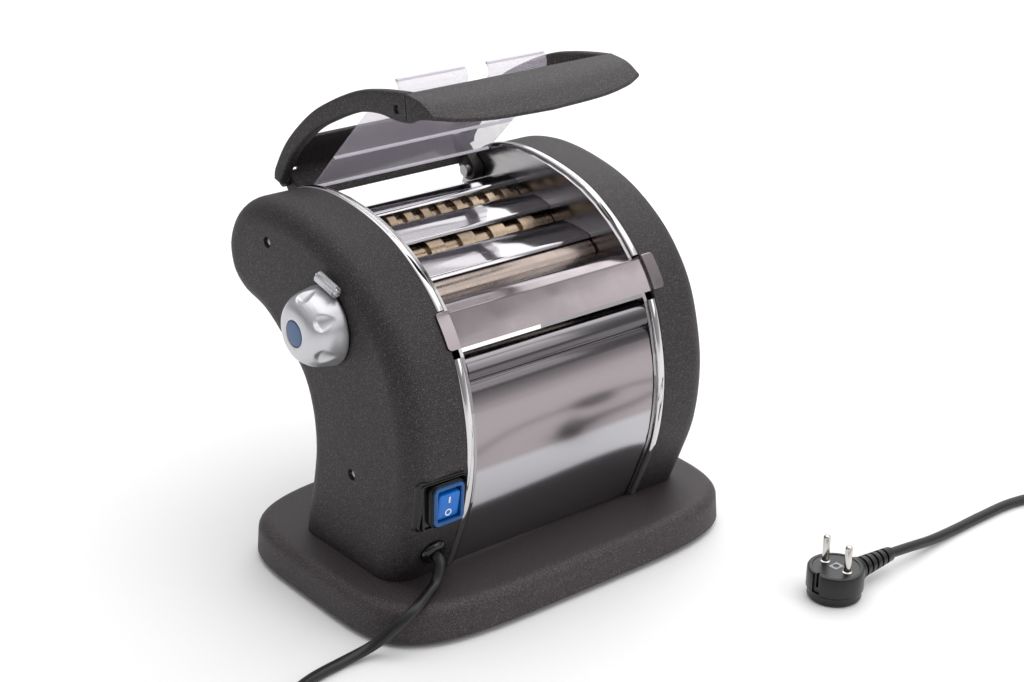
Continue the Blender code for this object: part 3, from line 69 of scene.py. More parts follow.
def add_floor():
    mesh = bpy.data.meshes.new("floor")
    corners = [(x, y, 0.0) for x, y in ((-1, -1), (1, -1), (1, 1), (-1, 1))]
    mesh.from_pydata([(x * FLOOR_HALF, y * FLOOR_HALF, z) for x, y, z in corners], [], [(0, 1, 2, 3)])
    floor = bpy.data.objects.new("floor", mesh)
    bpy.context.scene.collection.objects.link(floor)
    paper = bpy.data.materials.new("floor_paper")
    paper.use_nodes = True
    shader = paper.node_tree.nodes["Principled BSDF"]
    shader.inputs["Base Color"].default_value = FLOOR_COLOUR
    shader.inputs["Roughness"].default_value = 0.85
    shader.inputs["Specular IOR Level"].default_value = 0.15
    mesh.materials.append(paper)


def colour_ramp(tree, stops):
    """A ramp of colours, or of greys given as one number each."""
    ramp = tree.nodes.new("ShaderNodeValToRGB")
    marks = ramp.color_ramp.elements
    while len(marks) < len(stops):
        marks.new(0.5)
    for mark, (position, colour) in zip(marks, stops):
        mark.position = position
        mark.color = (*colour, 1.0) if isinstance(colour, tuple) else (colour, colour, colour, 1.0)
    return ramp


def scaled(tree, source, operation, *values):
    """A number in a node tree worked over with one sum."""
    step = tree.nodes.new("ShaderNodeMath")
    step.operation = operation
    for number, value in enumerate(values):
        step.inputs[number + 1].default_value = value
    tree.links.new(source, step.inputs[0])
    return step.outputs[0]


def add_walls():
    world = bpy.data.worlds.new("grey_walls")
    bpy.context.scene.world = world
    world.use_nodes = True
    tree = world.node_tree
    background = tree.nodes["Background"]
    place = tree.nodes.new("ShaderNodeTexCoord")
    split = tree.nodes.new("ShaderNodeSeparateXYZ")
    tree.links.new(place.outputs["Generated"], split.inputs[0])
    ramp = colour_ramp(tree, [(height, (grey, grey * WALL_GREEN, grey))
                              for height, grey in zip(WALL_HEIGHTS, WALL_GREYS)])
    tree.links.new(scaled(tree, split.outputs["Z"], "MULTIPLY_ADD", 0.5, 0.5), ramp.inputs["Fac"])
    tree.links.new(ramp.outputs["Color"], background.inputs["Color"])
    side_light = scaled(tree, split.outputs["X"], "MULTIPLY_ADD", WALLS_TO_THE_RIGHT, WALLS_STRENGTH)
    tree.links.new(side_light, background.inputs["Strength"])


def add_soft_box(name, place, aim, size, watts):
    light = bpy.data.lights.new(name, "AREA")
    light.size = size
    light.energy = watts
    lamp = bpy.data.objects.new(name, light)
    bpy.context.scene.collection.objects.link(lamp)
    lamp.location = place
    lamp.rotation_euler = (Vector(place) - Vector(aim)).to_track_quat("Z", "Y").to_euler()


add_floor()
add_walls()
for box_name, box_values in SOFT_BOXES.items():
    add_soft_box(box_name, *box_values)
bpy.context.scene.view_settings.view_transform = "Standard"

# The camera: a long lens held above the front left corner, where the
# photograph was taken, and rolled by half a degree.
base_low, base_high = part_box("base_plate")
MACHINE_Y = (base_low.y + base_high.y) / 2
CAMERA_PLACE = (-719.3, -899.9, 629.7)
CAMERA_DOWN = math.radians(22.76)
CAMERA_ROUND = math.radians(-39.30)
CAMERA_ROLL = math.radians(0.47)
CAMERA_LENS = 65.34


def seat(x, y, z):
    """A place in millimetres from the middle of the base plate, in the world's metres."""
    return Vector((x * MM, y * MM + MACHINE_Y, z * MM))


def add_camera():
    back = Vector((math.sin(CAMERA_ROUND) * math.cos(CAMERA_DOWN),
                   -math.cos(CAMERA_ROUND) * math.cos(CAMERA_DOWN), math.sin(CAMERA_DOWN)))
    right = Vector((0, 0, 1)).cross(back).normalized()
    up = back.cross(right)
    turned_right = right * math.cos(CAMERA_ROLL) + up * math.sin(CAMERA_ROLL)
    turned_up = up * math.cos(CAMERA_ROLL) - right * math.sin(CAMERA_ROLL)
    lens = bpy.data.cameras.new("camera")
    lens.lens = CAMERA_LENS
    lens.clip_end = 50.0
    camera = bpy.data.objects.new("camera", lens)
    bpy.context.scene.collection.objects.link(camera)
    camera.matrix_world = Matrix.Translation(seat(*CAMERA_PLACE)) @ Matrix(
        (turned_right, turned_up, back)).transposed().to_4x4()
    bpy.context.scene.camera = camera


add_camera()

# Base plate: a cast aluminium tray with bowed sides and a soft top edge, in
# anthracite powder coat with a fine speckle. Everything else is bolted to it.
BASE_LENGTH = 306.0
BASE_DEPTH = 210.0
BASE_FOOT_Z = 4.0
BASE_TOP_Z = 28.0
BASE_DRAFT = 1.5
BASE_EDGE = 8.0
BASE_WALL = 3.0
BASE_BOW = 4.5
BASE_STEPS = 160
EDGE_STEPS = 7
COAT_COLOURS = ((0.34, (0.010, 0.0075, 0.0085)), (0.49, (0.023, 0.0175, 0.019)),
                (0.58, (0.043, 0.034, 0.037)), (0.68, (0.12, 0.105, 0.11)))
COAT_GRAIN = 1500.0
COAT_ROUGHNESS = 0.58
COAT_BUMP = 0.55
COAT_DEPTH = 0.0004
# The three shades below paint light and shade into the one coat: it is made lighter on the base and
# darker on the caps, rear cover and lid frame, for how the light falls on them.
BASE_PAINTED_LIGHT_FACTOR = 1.3
BODY_PAINTED_SHADE_FACTOR = 0.55
LID_PAINTED_SHADE_FACTOR = 0.45


def bowed(length, depth):
    """Points round a rounded rectangle whose sides bow out."""
    loop = []
    for k in range(BASE_STEPS):
        angle = 2 * math.pi * k / BASE_STEPS
        c, s = math.cos(angle), math.sin(angle)
        size = (abs(c)**BASE_BOW + abs(s)**BASE_BOW)**(-1 / BASE_BOW)
        loop.append((length / 2 * c * size, depth / 2 * s * size))
    return loop


def loft(name, rings, closed=True, capped=True):
    """A mesh over rings of as many points each, in order, with both ends filled."""
    mesh = bmesh.new()
    rows = [[mesh.verts.new(point) for point in ring] for ring in rings]
    for low, high in zip(rows, rows[1:]):
        for i in range(len(low) if closed else len(low) - 1):
            j = (i + 1) % len(low)
            mesh.faces.new((low[i], low[j], high[j], high[i]))
    if capped:
        mesh.faces.new(rows[0][::-1])
        mesh.faces.new(rows[-1])
    bmesh.ops.recalc_face_normals(mesh, faces=mesh.faces)
    data = bpy.data.meshes.new(name)
    mesh.to_mesh(data)
    mesh.free()
    made = bpy.data.objects.new(name, data)
    bpy.context.scene.collection.objects.link(made)
    return made


def last_ring_closed(piece, ring_size):
    """The piece with one face over the last ring of its loft."""
    mesh = bmesh.new()
    mesh.from_mesh(piece.data)
    mesh.verts.ensure_lookup_table()
    mesh.faces.new(mesh.verts[len(mesh.verts) - ring_size:])
    bmesh.ops.recalc_face_normals(mesh, faces=mesh.faces)
    mesh.to_mesh(piece.data)
    mesh.free()
    return piece


def welded(piece):
    """The piece with points that meet made one, and its faces turned outwards."""
    mesh = bmesh.new()
    mesh.from_mesh(piece.data)
    bmesh.ops.remove_doubles(mesh, verts=mesh.verts, dist=MM / 500)
    bmesh.ops.recalc_face_normals(mesh, faces=mesh.faces)
    mesh.to_mesh(piece.data)
    mesh.free()
    return piece


def applied(piece, sharp=math.radians(38)):
    """The piece with its modifiers worked into its mesh, smooth but for sharp edges."""
    seen = piece.evaluated_get(bpy.context.evaluated_depsgraph_get())
    data = bpy.data.meshes.new_from_object(seen)
    piece.modifiers.clear()
    piece.data = data
    for face in data.polygons:
        face.use_smooth = True
    data.set_sharp_from_angle(angle=sharp)
    return piece


def shelled(piece, wall):
    """The piece hollowed to a wall that grows inwards."""
    shell = piece.modifiers.new("wall", "SOLIDIFY")
    shell.thickness = wall * MM
    shell.offset = -1.0
    return piece


def new_finish(name, colour, roughness, metallic=0.0):
    """A material and its shader, ready for more nodes."""
    made = bpy.data.materials.new(name)
    made.use_nodes = True
    shader = made.node_tree.nodes["Principled BSDF"]
    shader.inputs["Base Color"].default_value = (*colour, 1.0)
    shader.inputs["Roughness"].default_value = roughness
    shader.inputs["Metallic"].default_value = metallic
    return made, shader


def add_noise(material, scale, detail=2.0, stretch=(1.0, 1.0, 1.0)):
    """A noise fixed to the piece, in bumps per metre."""
    tree = material.node_tree
    place = tree.nodes.new("ShaderNodeTexCoord")
    spread = tree.nodes.new("ShaderNodeMapping")
    spread.inputs["Scale"].default_value = stretch
    noise = tree.nodes.new("ShaderNodeTexNoise")
    noise.inputs["Scale"].default_value = scale
    noise.inputs["Detail"].default_value = detail
    tree.links.new(place.outputs["Object"], spread.inputs["Vector"])
    tree.links.new(spread.outputs["Vector"], noise.inputs["Vector"])
    return noise


def add_ramp(material, source, stops, target):
    """Colours or greys along a noise, into one socket of the shader."""
    ramp = colour_ramp(material.node_tree, stops)
    material.node_tree.links.new(source.outputs["Fac"], ramp.inputs["Fac"])
    material.node_tree.links.new(ramp.outputs["Color"], target)


def add_bump(material, shader, source, strength, depth):
    tree = material.node_tree
    bump = tree.nodes.new("ShaderNodeBump")
    bump.inputs["Strength"].default_value = strength
    bump.inputs["Distance"].default_value = depth
    tree.links.new(source.outputs["Fac"], bump.inputs["Height"])
    tree.links.new(bump.outputs["Normal"], shader.inputs["Normal"])


def grained(name, colour, roughness, grain, strength, metallic=0.0, depth=0.0001, detail=2.0):
    """A plain finish whose fine grain catches the light."""
    made, shader = new_finish(name, colour, roughness, metallic)
    add_bump(made, shader, add_noise(made, grain, detail), strength, depth)
    return made


def powder_coat(name, shade):
    """The speckled coat, in a shade set to come near the light on those pieces in the photograph."""
    colours = [(place, tuple(shade * share for share in colour)) for place, colour in COAT_COLOURS]
    colours[-1] = COAT_COLOURS[-1]
    made, shader = new_finish(name, colours[1][1], COAT_ROUGHNESS)
    grain = add_noise(made, COAT_GRAIN, 3.0)
    add_ramp(made, grain, colours, shader.inputs["Base Color"])
    add_bump(made, shader, grain, COAT_BUMP, COAT_DEPTH)
    return made


def place_piece(piece, material, body, slot, *nodes):
    """Paints a piece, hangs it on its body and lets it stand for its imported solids."""
    piece.data.materials.clear()
    piece.data.materials.append(material)
    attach(piece, body)
    if nodes:
        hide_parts(*nodes)
    return piece


def base_rings():
    wall_top = BASE_TOP_Z - BASE_EDGE
    lean = BASE_DRAFT * (wall_top - BASE_FOOT_Z) / (BASE_TOP_Z - BASE_FOOT_Z)
    rings = [(0.6, BASE_FOOT_Z), (0.0, BASE_FOOT_Z + 0.6), (lean, wall_top)]
    for k in range(1, EDGE_STEPS + 1):
        turn = math.pi / 2 * k / EDGE_STEPS
        rings.append((lean + (BASE_EDGE + BASE_DRAFT - lean) * (1 - math.cos(turn)),
                      wall_top + BASE_EDGE * math.sin(turn)))
    rings.append((BASE_EDGE * 2.2, BASE_TOP_Z))
    return [[seat(x, y, z) for x, y in bowed(BASE_LENGTH - 2 * inset, BASE_DEPTH - 2 * inset)]
            for inset, z in rings]


rings = base_rings()
base = last_ring_closed(loft("base_plate_casting", rings, capped=False), BASE_STEPS)
# The base wears the coat lightened as painted light.
place_piece(applied(shelled(base, BASE_WALL)), powder_coat("base_powder_coat_painted_light", BASE_PAINTED_LIGHT_FACTOR),
            "housing", "anthracite", "base_plate")

# Bottom cover and feet: a black steel sheet closes the tray from below, and
# four rubber feet under the corners keep the machine from walking.
FOOT_PLACES = ((-119.34, -73.5), (119.34, -73.5), (-119.34, 73.5), (119.34, 73.5))
FOOT_PROFILE = ((0.0, 0.0), (9.6, 0.0), (10.6, 0.4), (11.0, 1.2), (11.0, 3.7), (0.0, 3.7))
FOOT_STEPS = 40


def revolved(name, profile, steps, place):
    """A turned mesh: profile points are radius and height, and place puts them in the world."""
    rings = []
    for radius, height in profile:
        rings.append([place(radius * math.cos(2 * math.pi * k / steps),
                            radius * math.sin(2 * math.pi * k / steps), height)
                      for k in range(steps)])
    return welded(loft(name, rings, capped=False))


RUBBER = grained("soft_rubber", (0.022, 0.022, 0.023), 0.62, 900.0, 0.25, depth=0.0002, detail=3.0)
for (x, y), name in zip(FOOT_PLACES, ("front_left", "front_right", "rear_left", "rear_right")):
    foot = revolved(f"foot_{name}", FOOT_PROFILE, FOOT_STEPS,
                    lambda u, v, h, x=x, y=y: seat(x + u, y + v, h))
    place_piece(applied(foot), RUBBER, "housing", "foot_rubber", f"rubber_foot_{name}")
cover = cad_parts["base_bottom_cover"]
cover.data.materials.clear()
cover.data.materials.append(
    grained("black_sheet_steel", (0.03, 0.03, 0.032), 0.45, 300.0, 0.1, 0.3, 0.0002))

# End caps: two cast shells in the same powder coat, open towards the rollers,
# with a deep soft edge all round. Screws hold each one to its side plate.
BODY_FRONT = -81.0
BODY_DEPTH = 213.0
BODY_FOOT_Z = 28.3
BODY_HEIGHT = 222.7
OUTLINE_SHARES = (
    (0.113, 0.000), (0.070, 0.097), (0.019, 0.232), (0.000, 0.380),
    (0.012, 0.515), (0.061, 0.672), (0.141, 0.789), (0.244, 0.877),
    (0.380, 0.948), (0.540, 0.988), (0.704, 1.000), (0.850, 0.975),
    (0.948, 0.915), (0.998, 0.820), (0.981, 0.722), (0.911, 0.661),
    (0.793, 0.627), (0.690, 0.564), (0.601, 0.497), (0.559, 0.407),
    (0.549, 0.300), (0.568, 0.187), (0.596, 0.088), (0.615, 0.000),
)
SPAN_STEPS = 8
CAP_RIM_X = 84.3
CAP_FACE_X = 127.0
CAP_EDGE = 17.0
CAP_WALL = 3.0
CAP_EDGE_STEPS = 12
SCREW_PLACES = ((74.0, 223.6), (-15.8, 91.8))
SCREW_WELL_RADIUS = 3.6
SCREW_WELL_DEPTH = 2.7


def on_body(share):
    """A point of the side view, y and z in millimetres, from its shares of the body."""
    return Vector((BODY_FRONT + share[0] * BODY_DEPTH, BODY_FOOT_Z + share[1] * BODY_HEIGHT))


def smooth_line(points, steps=SPAN_STEPS):
    """A soft line through all the points."""
    pts = [Vector(p) for p in points]
    ends = [pts[0] * 2 - pts[1], *pts, pts[-1] * 2 - pts[-2]]
    line = []
    for a, b, c, d in zip(ends, ends[1:], ends[2:], ends[3:]):
        for k in range(steps):
            t = k / steps
            line.append((b * 2 + (c - a) * t + (a * 2 - b * 5 + c * 4 - d) * t**2
                         + (b * 3 - a - c * 3 + d) * t**3) / 2)
    return [*line, pts[-1]]


def offset_line(points, distance):
    """An open line moved sideways: outwards where it runs up the front and over the top."""
    moved = []
    for i, point in enumerate(points):
        before = (point - points[i - 1]).normalized() if i else None
        after = (points[i + 1] - point).normalized() if i + 1 < len(points) else None
        sides = [Vector((-s.y, s.x)) for s in (before, after) if s is not None]
        middle = sum(sides, Vector((0.0, 0.0)))
        moved.append(point + middle * (distance * len(sides) / middle.dot(middle)))
    return moved


def body_line(first=0, last=len(OUTLINE_SHARES) - 1):
    """The body's side view between two of its points."""
    line = smooth_line([on_body(share) for share in OUTLINE_SHARES])
    return line[first * SPAN_STEPS:last * SPAN_STEPS + 1]


def cap_loop(inset):
    """The cap's outline drawn in by an inset, still standing on the base plate."""
    line = offset_line(body_line(), -inset)
    for end, next_one in ((0, 1), (-1, -2)):
        way = line[end] - line[next_one]
        line[end] = line[end] + way * ((BODY_FOOT_Z - line[end].y) / way.y)
    return [Vector((y, max(z, BODY_FOOT_Z))) for y, z in line]


def carved(piece, *cutters, operation="DIFFERENCE"):
    """The piece after solid cutters are taken from it, or melted into it."""
    for cutter in cutters:
        step = piece.modifiers.new("carved", "BOOLEAN")
        step.operation = operation
        step.object = cutter
        step.solver = "EXACT"
    applied(piece)
    for cutter in cutters:
        bpy.data.objects.remove(cutter, do_unlink=True)
    return piece


def along_x(x, y, z, side=1):
    """A placer for turned pieces whose heights run along X, away from the middle."""
    return lambda u, v, h: seat(side * (x + h), y + u, z + v)


def cap_shell(name, side):
    rings = [(0.0, CAP_RIM_X), (0.0, CAP_FACE_X - CAP_EDGE)]
    for k in range(1, CAP_EDGE_STEPS + 1):
        turn = math.pi / 2 * k / CAP_EDGE_STEPS
        rings.append((CAP_EDGE * (1 - math.cos(turn)),
                      CAP_FACE_X - CAP_EDGE + CAP_EDGE * math.sin(turn)))
    loops = [[seat(side * x, y, z) for y, z in cap_loop(inset)] for inset, x in rings]
    cap = last_ring_closed(loft(name, loops, capped=False), len(loops[0]))
    return applied(shelled(cap, CAP_WALL))


def screw_wells(side):
    for y, z in SCREW_PLACES:
        yield revolved("screw_well", ((0.0, -SCREW_WELL_DEPTH), (SCREW_WELL_RADIUS, -SCREW_WELL_DEPTH),
                                      (SCREW_WELL_RADIUS + 0.4, 1.0), (0.0, 1.0)), 32,
                       along_x(CAP_FACE_X, y, z, side))


LEFT_CAP = cap_shell("left_cap_casting", -1)
RIGHT_CAP = cap_shell("right_cap_casting", 1)
carved(LEFT_CAP, *screw_wells(-1))
carved(RIGHT_CAP, *screw_wells(1))

# Switch: a black frame snapped into the left cap, a soft clear-blue cover with
# a raised lip, and under it the rocker with a white line and a white ring.
SWITCH_X = (-116.2, -85.9)
SWITCH_HEIGHT = 32.4
SWITCH_Z = 89.0
SWITCH_BACK_Y = -60.0
HOOD_X = (-111.0, -87.6)
HOOD_HEIGHT = 27.5
HOOD_FRONT_Y = -83.0
BEZEL_X = (-121.5, -84.6)
BEZEL_Z = (72.3, 108.6)
BEZEL_RIDGES = ((0.0, -0.8), (0.0, 0.9), (0.1, 1.7), (0.25, 1.7), (0.34, 0.5), (0.5, 0.5), (0.58, 1.4),
                (0.74, 1.4), (0.82, -0.2), (1.0, -0.4), (1.0, -2.4), (0.5, -2.0), (0.0, -0.8))
SWITCH_TILT = 0.05
SWITCH_SET_BACK = 0.2
SWITCH_PLAY = 0.3
FRAME_STEPS = ((0.0, SWITCH_BACK_Y), (0.0, -77.0), (0.5, -77.5), (1.1, -77.5), (1.5, -77.1),
               (1.7, -76.2), (2.2, -76.2))
BOOT_STEPS = ((-0.15, -64.0), (-0.15, -81.6), (-0.45, -82.0), (-0.75, -81.7), (-0.85, -80.6),
              (-1.2, -80.4), (-1.3, -79.4), (-1.55, -79.1), (-1.6, -64.0), (-0.15, -64.0))
HOOD_STEPS = ((0.0, -63.3), (0.0, -82.3), (0.25, -82.8), (0.7, HOOD_FRONT_Y), (2.2, HOOD_FRONT_Y),
              (2.7, -82.7), (2.9, -82.0), (3.0, -80.0), (3.0, -66.5))
HOOD_CORNER = 4.0
HOOD_BLUES = ((0.3, (0.004, 0.085, 0.30)), (0.7, (0.008, 0.12, 0.38)))
PADDLE_X = (HOOD_X[0] + 3.4, HOOD_X[1] - 3.4)
PADDLE_HEIGHT = HOOD_HEIGHT - 9.1
PADDLE_STEPS = ((0.5, -69.5), (0.0, -70.2), (0.0, -81.0), (0.3, -81.8), (1.2, -82.2), (5.0, -82.0))
LINE_MARK_Z = SWITCH_Z + 4.6
LINE_MARK_HEIGHT = 4.6
RING_MARK_Z = SWITCH_Z - 4.8
RING_MARK_Y = -81.85
RING_MARK_PROFILE = ((1.7, 0.0), (1.7, 0.5), (2.5, 0.5), (2.5, 0.0), (1.7, 0.0))
ROCKER_AXIS_Y = -73.0
ROCKER_LEAN = math.radians(7.0)
CORNER_STEPS = 6


def rounded_frame(x_pair, z_middle, height, inset, radius, corner_steps=CORNER_STEPS):
    """Points round a rectangle with round corners, x and z in millimetres."""
    half_x = (x_pair[1] - x_pair[0]) / 2 - inset
    half_z = height / 2 - inset
    radius = min(radius, half_x, half_z)
    middle_x = sum(x_pair) / 2
    loop = []
    for quarter, (sx, sz) in enumerate(((1, 1), (-1, 1), (-1, -1), (1, -1))):
        for k in range(corner_steps + 1):
            angle = math.pi / 2 * (quarter + k / corner_steps)
            loop.append((middle_x + sx * (half_x - radius) + radius * math.cos(angle),
                         z_middle + sz * (half_z - radius) + radius * math.sin(angle)))
    return loop


def pressed_box(name, x_pair, z_middle, height, radius, steps):
    """A box along Y from rings of inset and y, with its last ring closed like its first."""
    rings = [[seat(x, y, z)
              for x, z in rounded_frame(x_pair, z_middle, height, inset, max(radius - inset, 0.3))]
             for inset, y in steps]
    return applied(loft(name, rings))


def skin_y(x, z):
    """Where the left cap's front lies at a place, in millimetres."""
    past = max(abs(x) - (CAP_FACE_X - CAP_EDGE), 0.0)
    line = cap_loop(CAP_EDGE - math.sqrt(CAP_EDGE**2 - past**2))[:4 * SPAN_STEPS]
    below = max(i for i, point in enumerate(line) if point.y <= z)
    low, high = line[below], line[below + 1]
    return low.x + (high.x - low.x) * (z - low.y) / (high.y - low.y)


def add_bezel(material):
    """Black ridges round the switch, which follow the cap's skin."""
    outer = rounded_frame(BEZEL_X, sum(BEZEL_Z) / 2, BEZEL_Z[1] - BEZEL_Z[0], 0.0, 4.0)
    inner = rounded_frame(SWITCH_X, SWITCH_Z, SWITCH_HEIGHT, 0.0, 2.0)
    rings = []
    for share, proud in BEZEL_RIDGES:
        ring = []
        for (x0, z0), (x1, z1) in zip(outer, inner):
            x, z = x0 + (x1 - x0) * share, z0 + (z1 - z0) * share
            ring.append(seat(x, skin_y(x, z) - proud, z))
        rings.append(ring)
    return place_piece(applied(welded(loft("switch_bezel", rings, capped=False))), material,
                       "housing", "black")


def set_back(piece):
    """The piece leaned like the skin round the switch, and set deeper."""
    for vert in piece.data.vertices:
        vert.co.y += (SWITCH_Z * MM - vert.co.z) * SWITCH_TILT + SWITCH_SET_BACK * MM
    return piece


def leaned(piece):
    """The piece turned about the rocker's axle, as it stands when off."""
    pivot = Matrix.Translation(seat(0.0, ROCKER_AXIS_Y, SWITCH_Z))
    piece.data.transform(pivot @ Matrix.Rotation(ROCKER_LEAN, 4, "X") @ pivot.inverted())
    return piece


def wider(x_pair):
    """A pair of X places with play on both sides."""
    return x_pair[0] - SWITCH_PLAY, x_pair[1] + SWITCH_PLAY


def add_switch():
    hole = pressed_box("switch_hole", wider(SWITCH_X), SWITCH_Z, SWITCH_HEIGHT + 2 * SWITCH_PLAY, 2.0,
                       ((0.0, -90.0), (0.0, SWITCH_BACK_Y)))
    carved(LEFT_CAP, hole)
    black = grained("black_nylon", (0.005, 0.005, 0.006), 0.34, 900.0, 0.1)
    frame_piece = pressed_box("switch_frame", SWITCH_X, SWITCH_Z, SWITCH_HEIGHT, 2.0, FRAME_STEPS)
    well = pressed_box("switch_well", wider(HOOD_X), SWITCH_Z, HOOD_HEIGHT + 2 * SWITCH_PLAY,
                       HOOD_CORNER, ((0.0, -90.0), (0.0, -63.0)))
    carved(frame_piece, well)
    place_piece(frame_piece, black, "housing", "black", "switch_housing")
    add_bezel(black)
    boot_rings = [[seat(x, y, z)
                   for x, z in rounded_frame(HOOD_X, SWITCH_Z, HOOD_HEIGHT, inset, HOOD_CORNER - inset)]
                  for inset, y in BOOT_STEPS]
    boot = applied(welded(loft("switch_boot", boot_rings, capped=False)))
    place_piece(set_back(boot), black, "housing", "black")
    clear_blue, shader = new_finish("blue_silicone", (0.02, 0.14, 0.42), 0.26)
    shader.inputs["Transmission Weight"].default_value = 0.25
    add_ramp(clear_blue, add_noise(clear_blue, 120.0), HOOD_BLUES, shader.inputs["Base Color"])
    hood = pressed_box("switch_hood", HOOD_X, SWITCH_Z, HOOD_HEIGHT, HOOD_CORNER, HOOD_STEPS)
    place_piece(set_back(hood), clear_blue, "housing", "blue", "switch_cover")
    deep_blue = grained("deep_blue_plastic", (0.0, 0.15, 0.58), 0.30, 700.0, 0.08)
    paddle = leaned(pressed_box("switch_paddle", PADDLE_X, SWITCH_Z, PADDLE_HEIGHT, 2.0, PADDLE_STEPS))
    place_piece(set_back(paddle), deep_blue, "rocker", "blue", "switch_rocker")
    white = grained("white_ink", (0.85, 0.87, 0.9), 0.4, 900.0, 0.05)
    middle_x = sum(PADDLE_X) / 2
    line = pressed_box("switch_line_mark", (middle_x - 0.6, middle_x + 0.6), LINE_MARK_Z,
                       LINE_MARK_HEIGHT, 0.5, ((0.0, -81.9), (0.0, -82.35)))
    place_piece(set_back(leaned(line)), white, "rocker", "blue")
    ring = revolved("switch_ring_mark", RING_MARK_PROFILE, 32,
                    lambda u, v, h: seat(middle_x + u, RING_MARK_Y - h, RING_MARK_Z + v))
    place_piece(set_back(leaned(applied(ring))), white, "rocker", "blue")
    return black


BLACK = add_switch()

# Cord grommet: a glossy black dome pressed into the front of the left cap,
# square to its skin, with the cord through its middle.
GROMMET_X = -101.0
GROMMET_PROFILE = ((9.2, 0.2), (9.3, 1.4), (8.9, 2.7), (7.9, 3.8), (6.4, 4.6), (5.0, 4.8),
                   (4.1, 4.5), (3.8, 3.8), (3.8, -7.0), (6.0, -7.0), (6.0, 0.2), (9.2, 0.2))


def add_grommet():
    rise = on_body(OUTLINE_SHARES[2]) - on_body(OUTLINE_SHARES[0])
    out = Vector((-rise.y, rise.x)).normalized()
    along = Vector((-out.y, out.x))
    middle = on_body(OUTLINE_SHARES[1])

    def skin(u, v, h):
        y, z = middle + out * h + along * v
        return seat(GROMMET_X + u, y, z)

    hole = revolved("grommet_hole", ((0.0, -12.0), (6.3, -12.0), (6.3, 6.0), (0.0, 6.0)), 32, skin)
    carved(LEFT_CAP, hole)
    gloss = grained("glossy_black", (0.005, 0.005, 0.006), 0.12, 500.0, 0.05)
    grommet = applied(revolved("grommet_dome", GROMMET_PROFILE, 48, skin))
    place_piece(grommet, gloss, "housing", "black", "cord_grommet")


add_grommet()
# The caps and the rear cover wear the coat darkened as painted shade.
BODY_COAT_PAINTED_SHADE = powder_coat("body_powder_coat_painted_shade", BODY_PAINTED_SHADE_FACTOR)
place_piece(LEFT_CAP, BODY_COAT_PAINTED_SHADE, "housing", "anthracite", "left_end_cap")
place_piece(RIGHT_CAP, BODY_COAT_PAINTED_SHADE, "housing", "anthracite", "right_end_cap")

# Mains cord: one round black cord, 1.76 m long, out of the grommet, over the
# base to the table, round in front, through a loose coil and on to the plug.
CORD_RADIUS = 3.5
CORD_LAY = 3.6
LEAD_ROUTE = (
    (-101.0, -58.6, 52.8), (-101.0, -66.1, 49.9), (-101.0, -70.8, 48.1), (-101.6, -75.0, 44.6),
    (-107.5, -78.5, 35.0), (-116.3, -82.5, 32.4), (-131.2, -90.0, 30.6), (-142.3, -89.5, 24.0),
    (-152.0, -83.0, 13.0), (-162.0, -78.5, 6.5), (-180.6, -77.6, 3.7), (-206.0, -81.5, 3.6),
    (-224.0, -90.0, 3.6), (-235.0, -106.0, 3.6), (-234.0, -126.0, 3.6), (-221.0, -141.0, 3.6),
    (-198.0, -151.0, 3.6), (-160.0, -164.0, 3.6), (-115.0, -187.0, 3.6), (-40.0, -242.0, 3.6),
    (35.0, -303.0, 3.6), (84.0, -341.0, 3.6), (126.0, -359.5, 3.6), (160.0, -361.0, 3.6),
    (210.0, -358.0, 3.6),
)
TAIL_ROUTE = (
    (276.0, -356.2, 11.2), (292.0, -354.0, 8.8), (310.0, -347.0, 5.2), (328.0, -336.0, 3.6),
    (345.0, -319.0, 3.6), (357.0, -297.0, 3.6), (363.0, -272.0, 3.6), (363.0, -247.0, 3.6),
    (356.0, -224.0, 3.6), (341.0, -209.0, 3.6), (317.0, -203.0, 3.6), (290.0, -202.5, 3.6),
    (260.0, -203.2, 3.6), (228.0, -205.0, 5.5), (202.0, -206.8, 9.6), (180.6, -207.0, 12.0),
)
COIL_MIDDLE = (258.0, -318.0)
COIL_RADIUS = 38.0
COIL_PITCH = 7.6
COIL_RISE = 7.6
COIL_LAYER_TURNS = 1.5
COIL_STEPS = 40
COIL_CLIMB_TURNS = 0.3
LEAD_STEPS = 6


def coil_points():
    points = []
    for k in range(int(2 * COIL_LAYER_TURNS * COIL_STEPS) + 1):
        turn = k / COIL_STEPS
        angle = 2 * math.pi * turn - math.pi / 2
        radius = COIL_RADIUS - COIL_PITCH * min(turn, 2 * COIL_LAYER_TURNS - turn)
        climb = min(max((turn - COIL_LAYER_TURNS) / COIL_CLIMB_TURNS + 0.5, 0.0), 1.0)
        points.append(Vector((COIL_MIDDLE[0] + radius * math.cos(angle),
                              COIL_MIDDLE[1] + radius * math.sin(angle),
                              CORD_LAY + COIL_RISE * climb**2 * (3 - 2 * climb))))
    return points


def cord_points():
    coil = coil_points()
    lead = smooth_line([*(Vector(p) for p in LEAD_ROUTE), coil[0]], LEAD_STEPS)
    tail = smooth_line([coil[-1], *(Vector(p) for p in TAIL_ROUTE)], LEAD_STEPS)
    points = [*lead[:-1], *coil[:-1], *tail]
    return [seat(p.x, p.y, max(p.z, CORD_LAY)) for p in points]


def add_cord():
    points = cord_points()
    curve = bpy.data.curves.new("mains_cord", "CURVE")
    curve.dimensions = "3D"
    curve.bevel_depth = CORD_RADIUS * MM
    curve.bevel_resolution = 5
    curve.use_fill_caps = True
    spline = curve.splines.new("POLY")
    spline.points.add(len(points) - 1)
    for knot, point in zip(spline.points, points):
        knot.co = (*point, 1.0)
    spline.use_smooth = True
    cord = bpy.data.objects.new("mains_cord", curve)
    bpy.context.scene.collection.objects.link(cord)
    sheath = grained("cord_sheath", (0.006, 0.006, 0.007), 0.38, 800.0, 0.12)
    place_piece(cord, sheath, "housing", "cord", "cord_lead", "cord_coil", "cord_tail")
    return cord, points


CORD, CORD_PATH = add_cord()

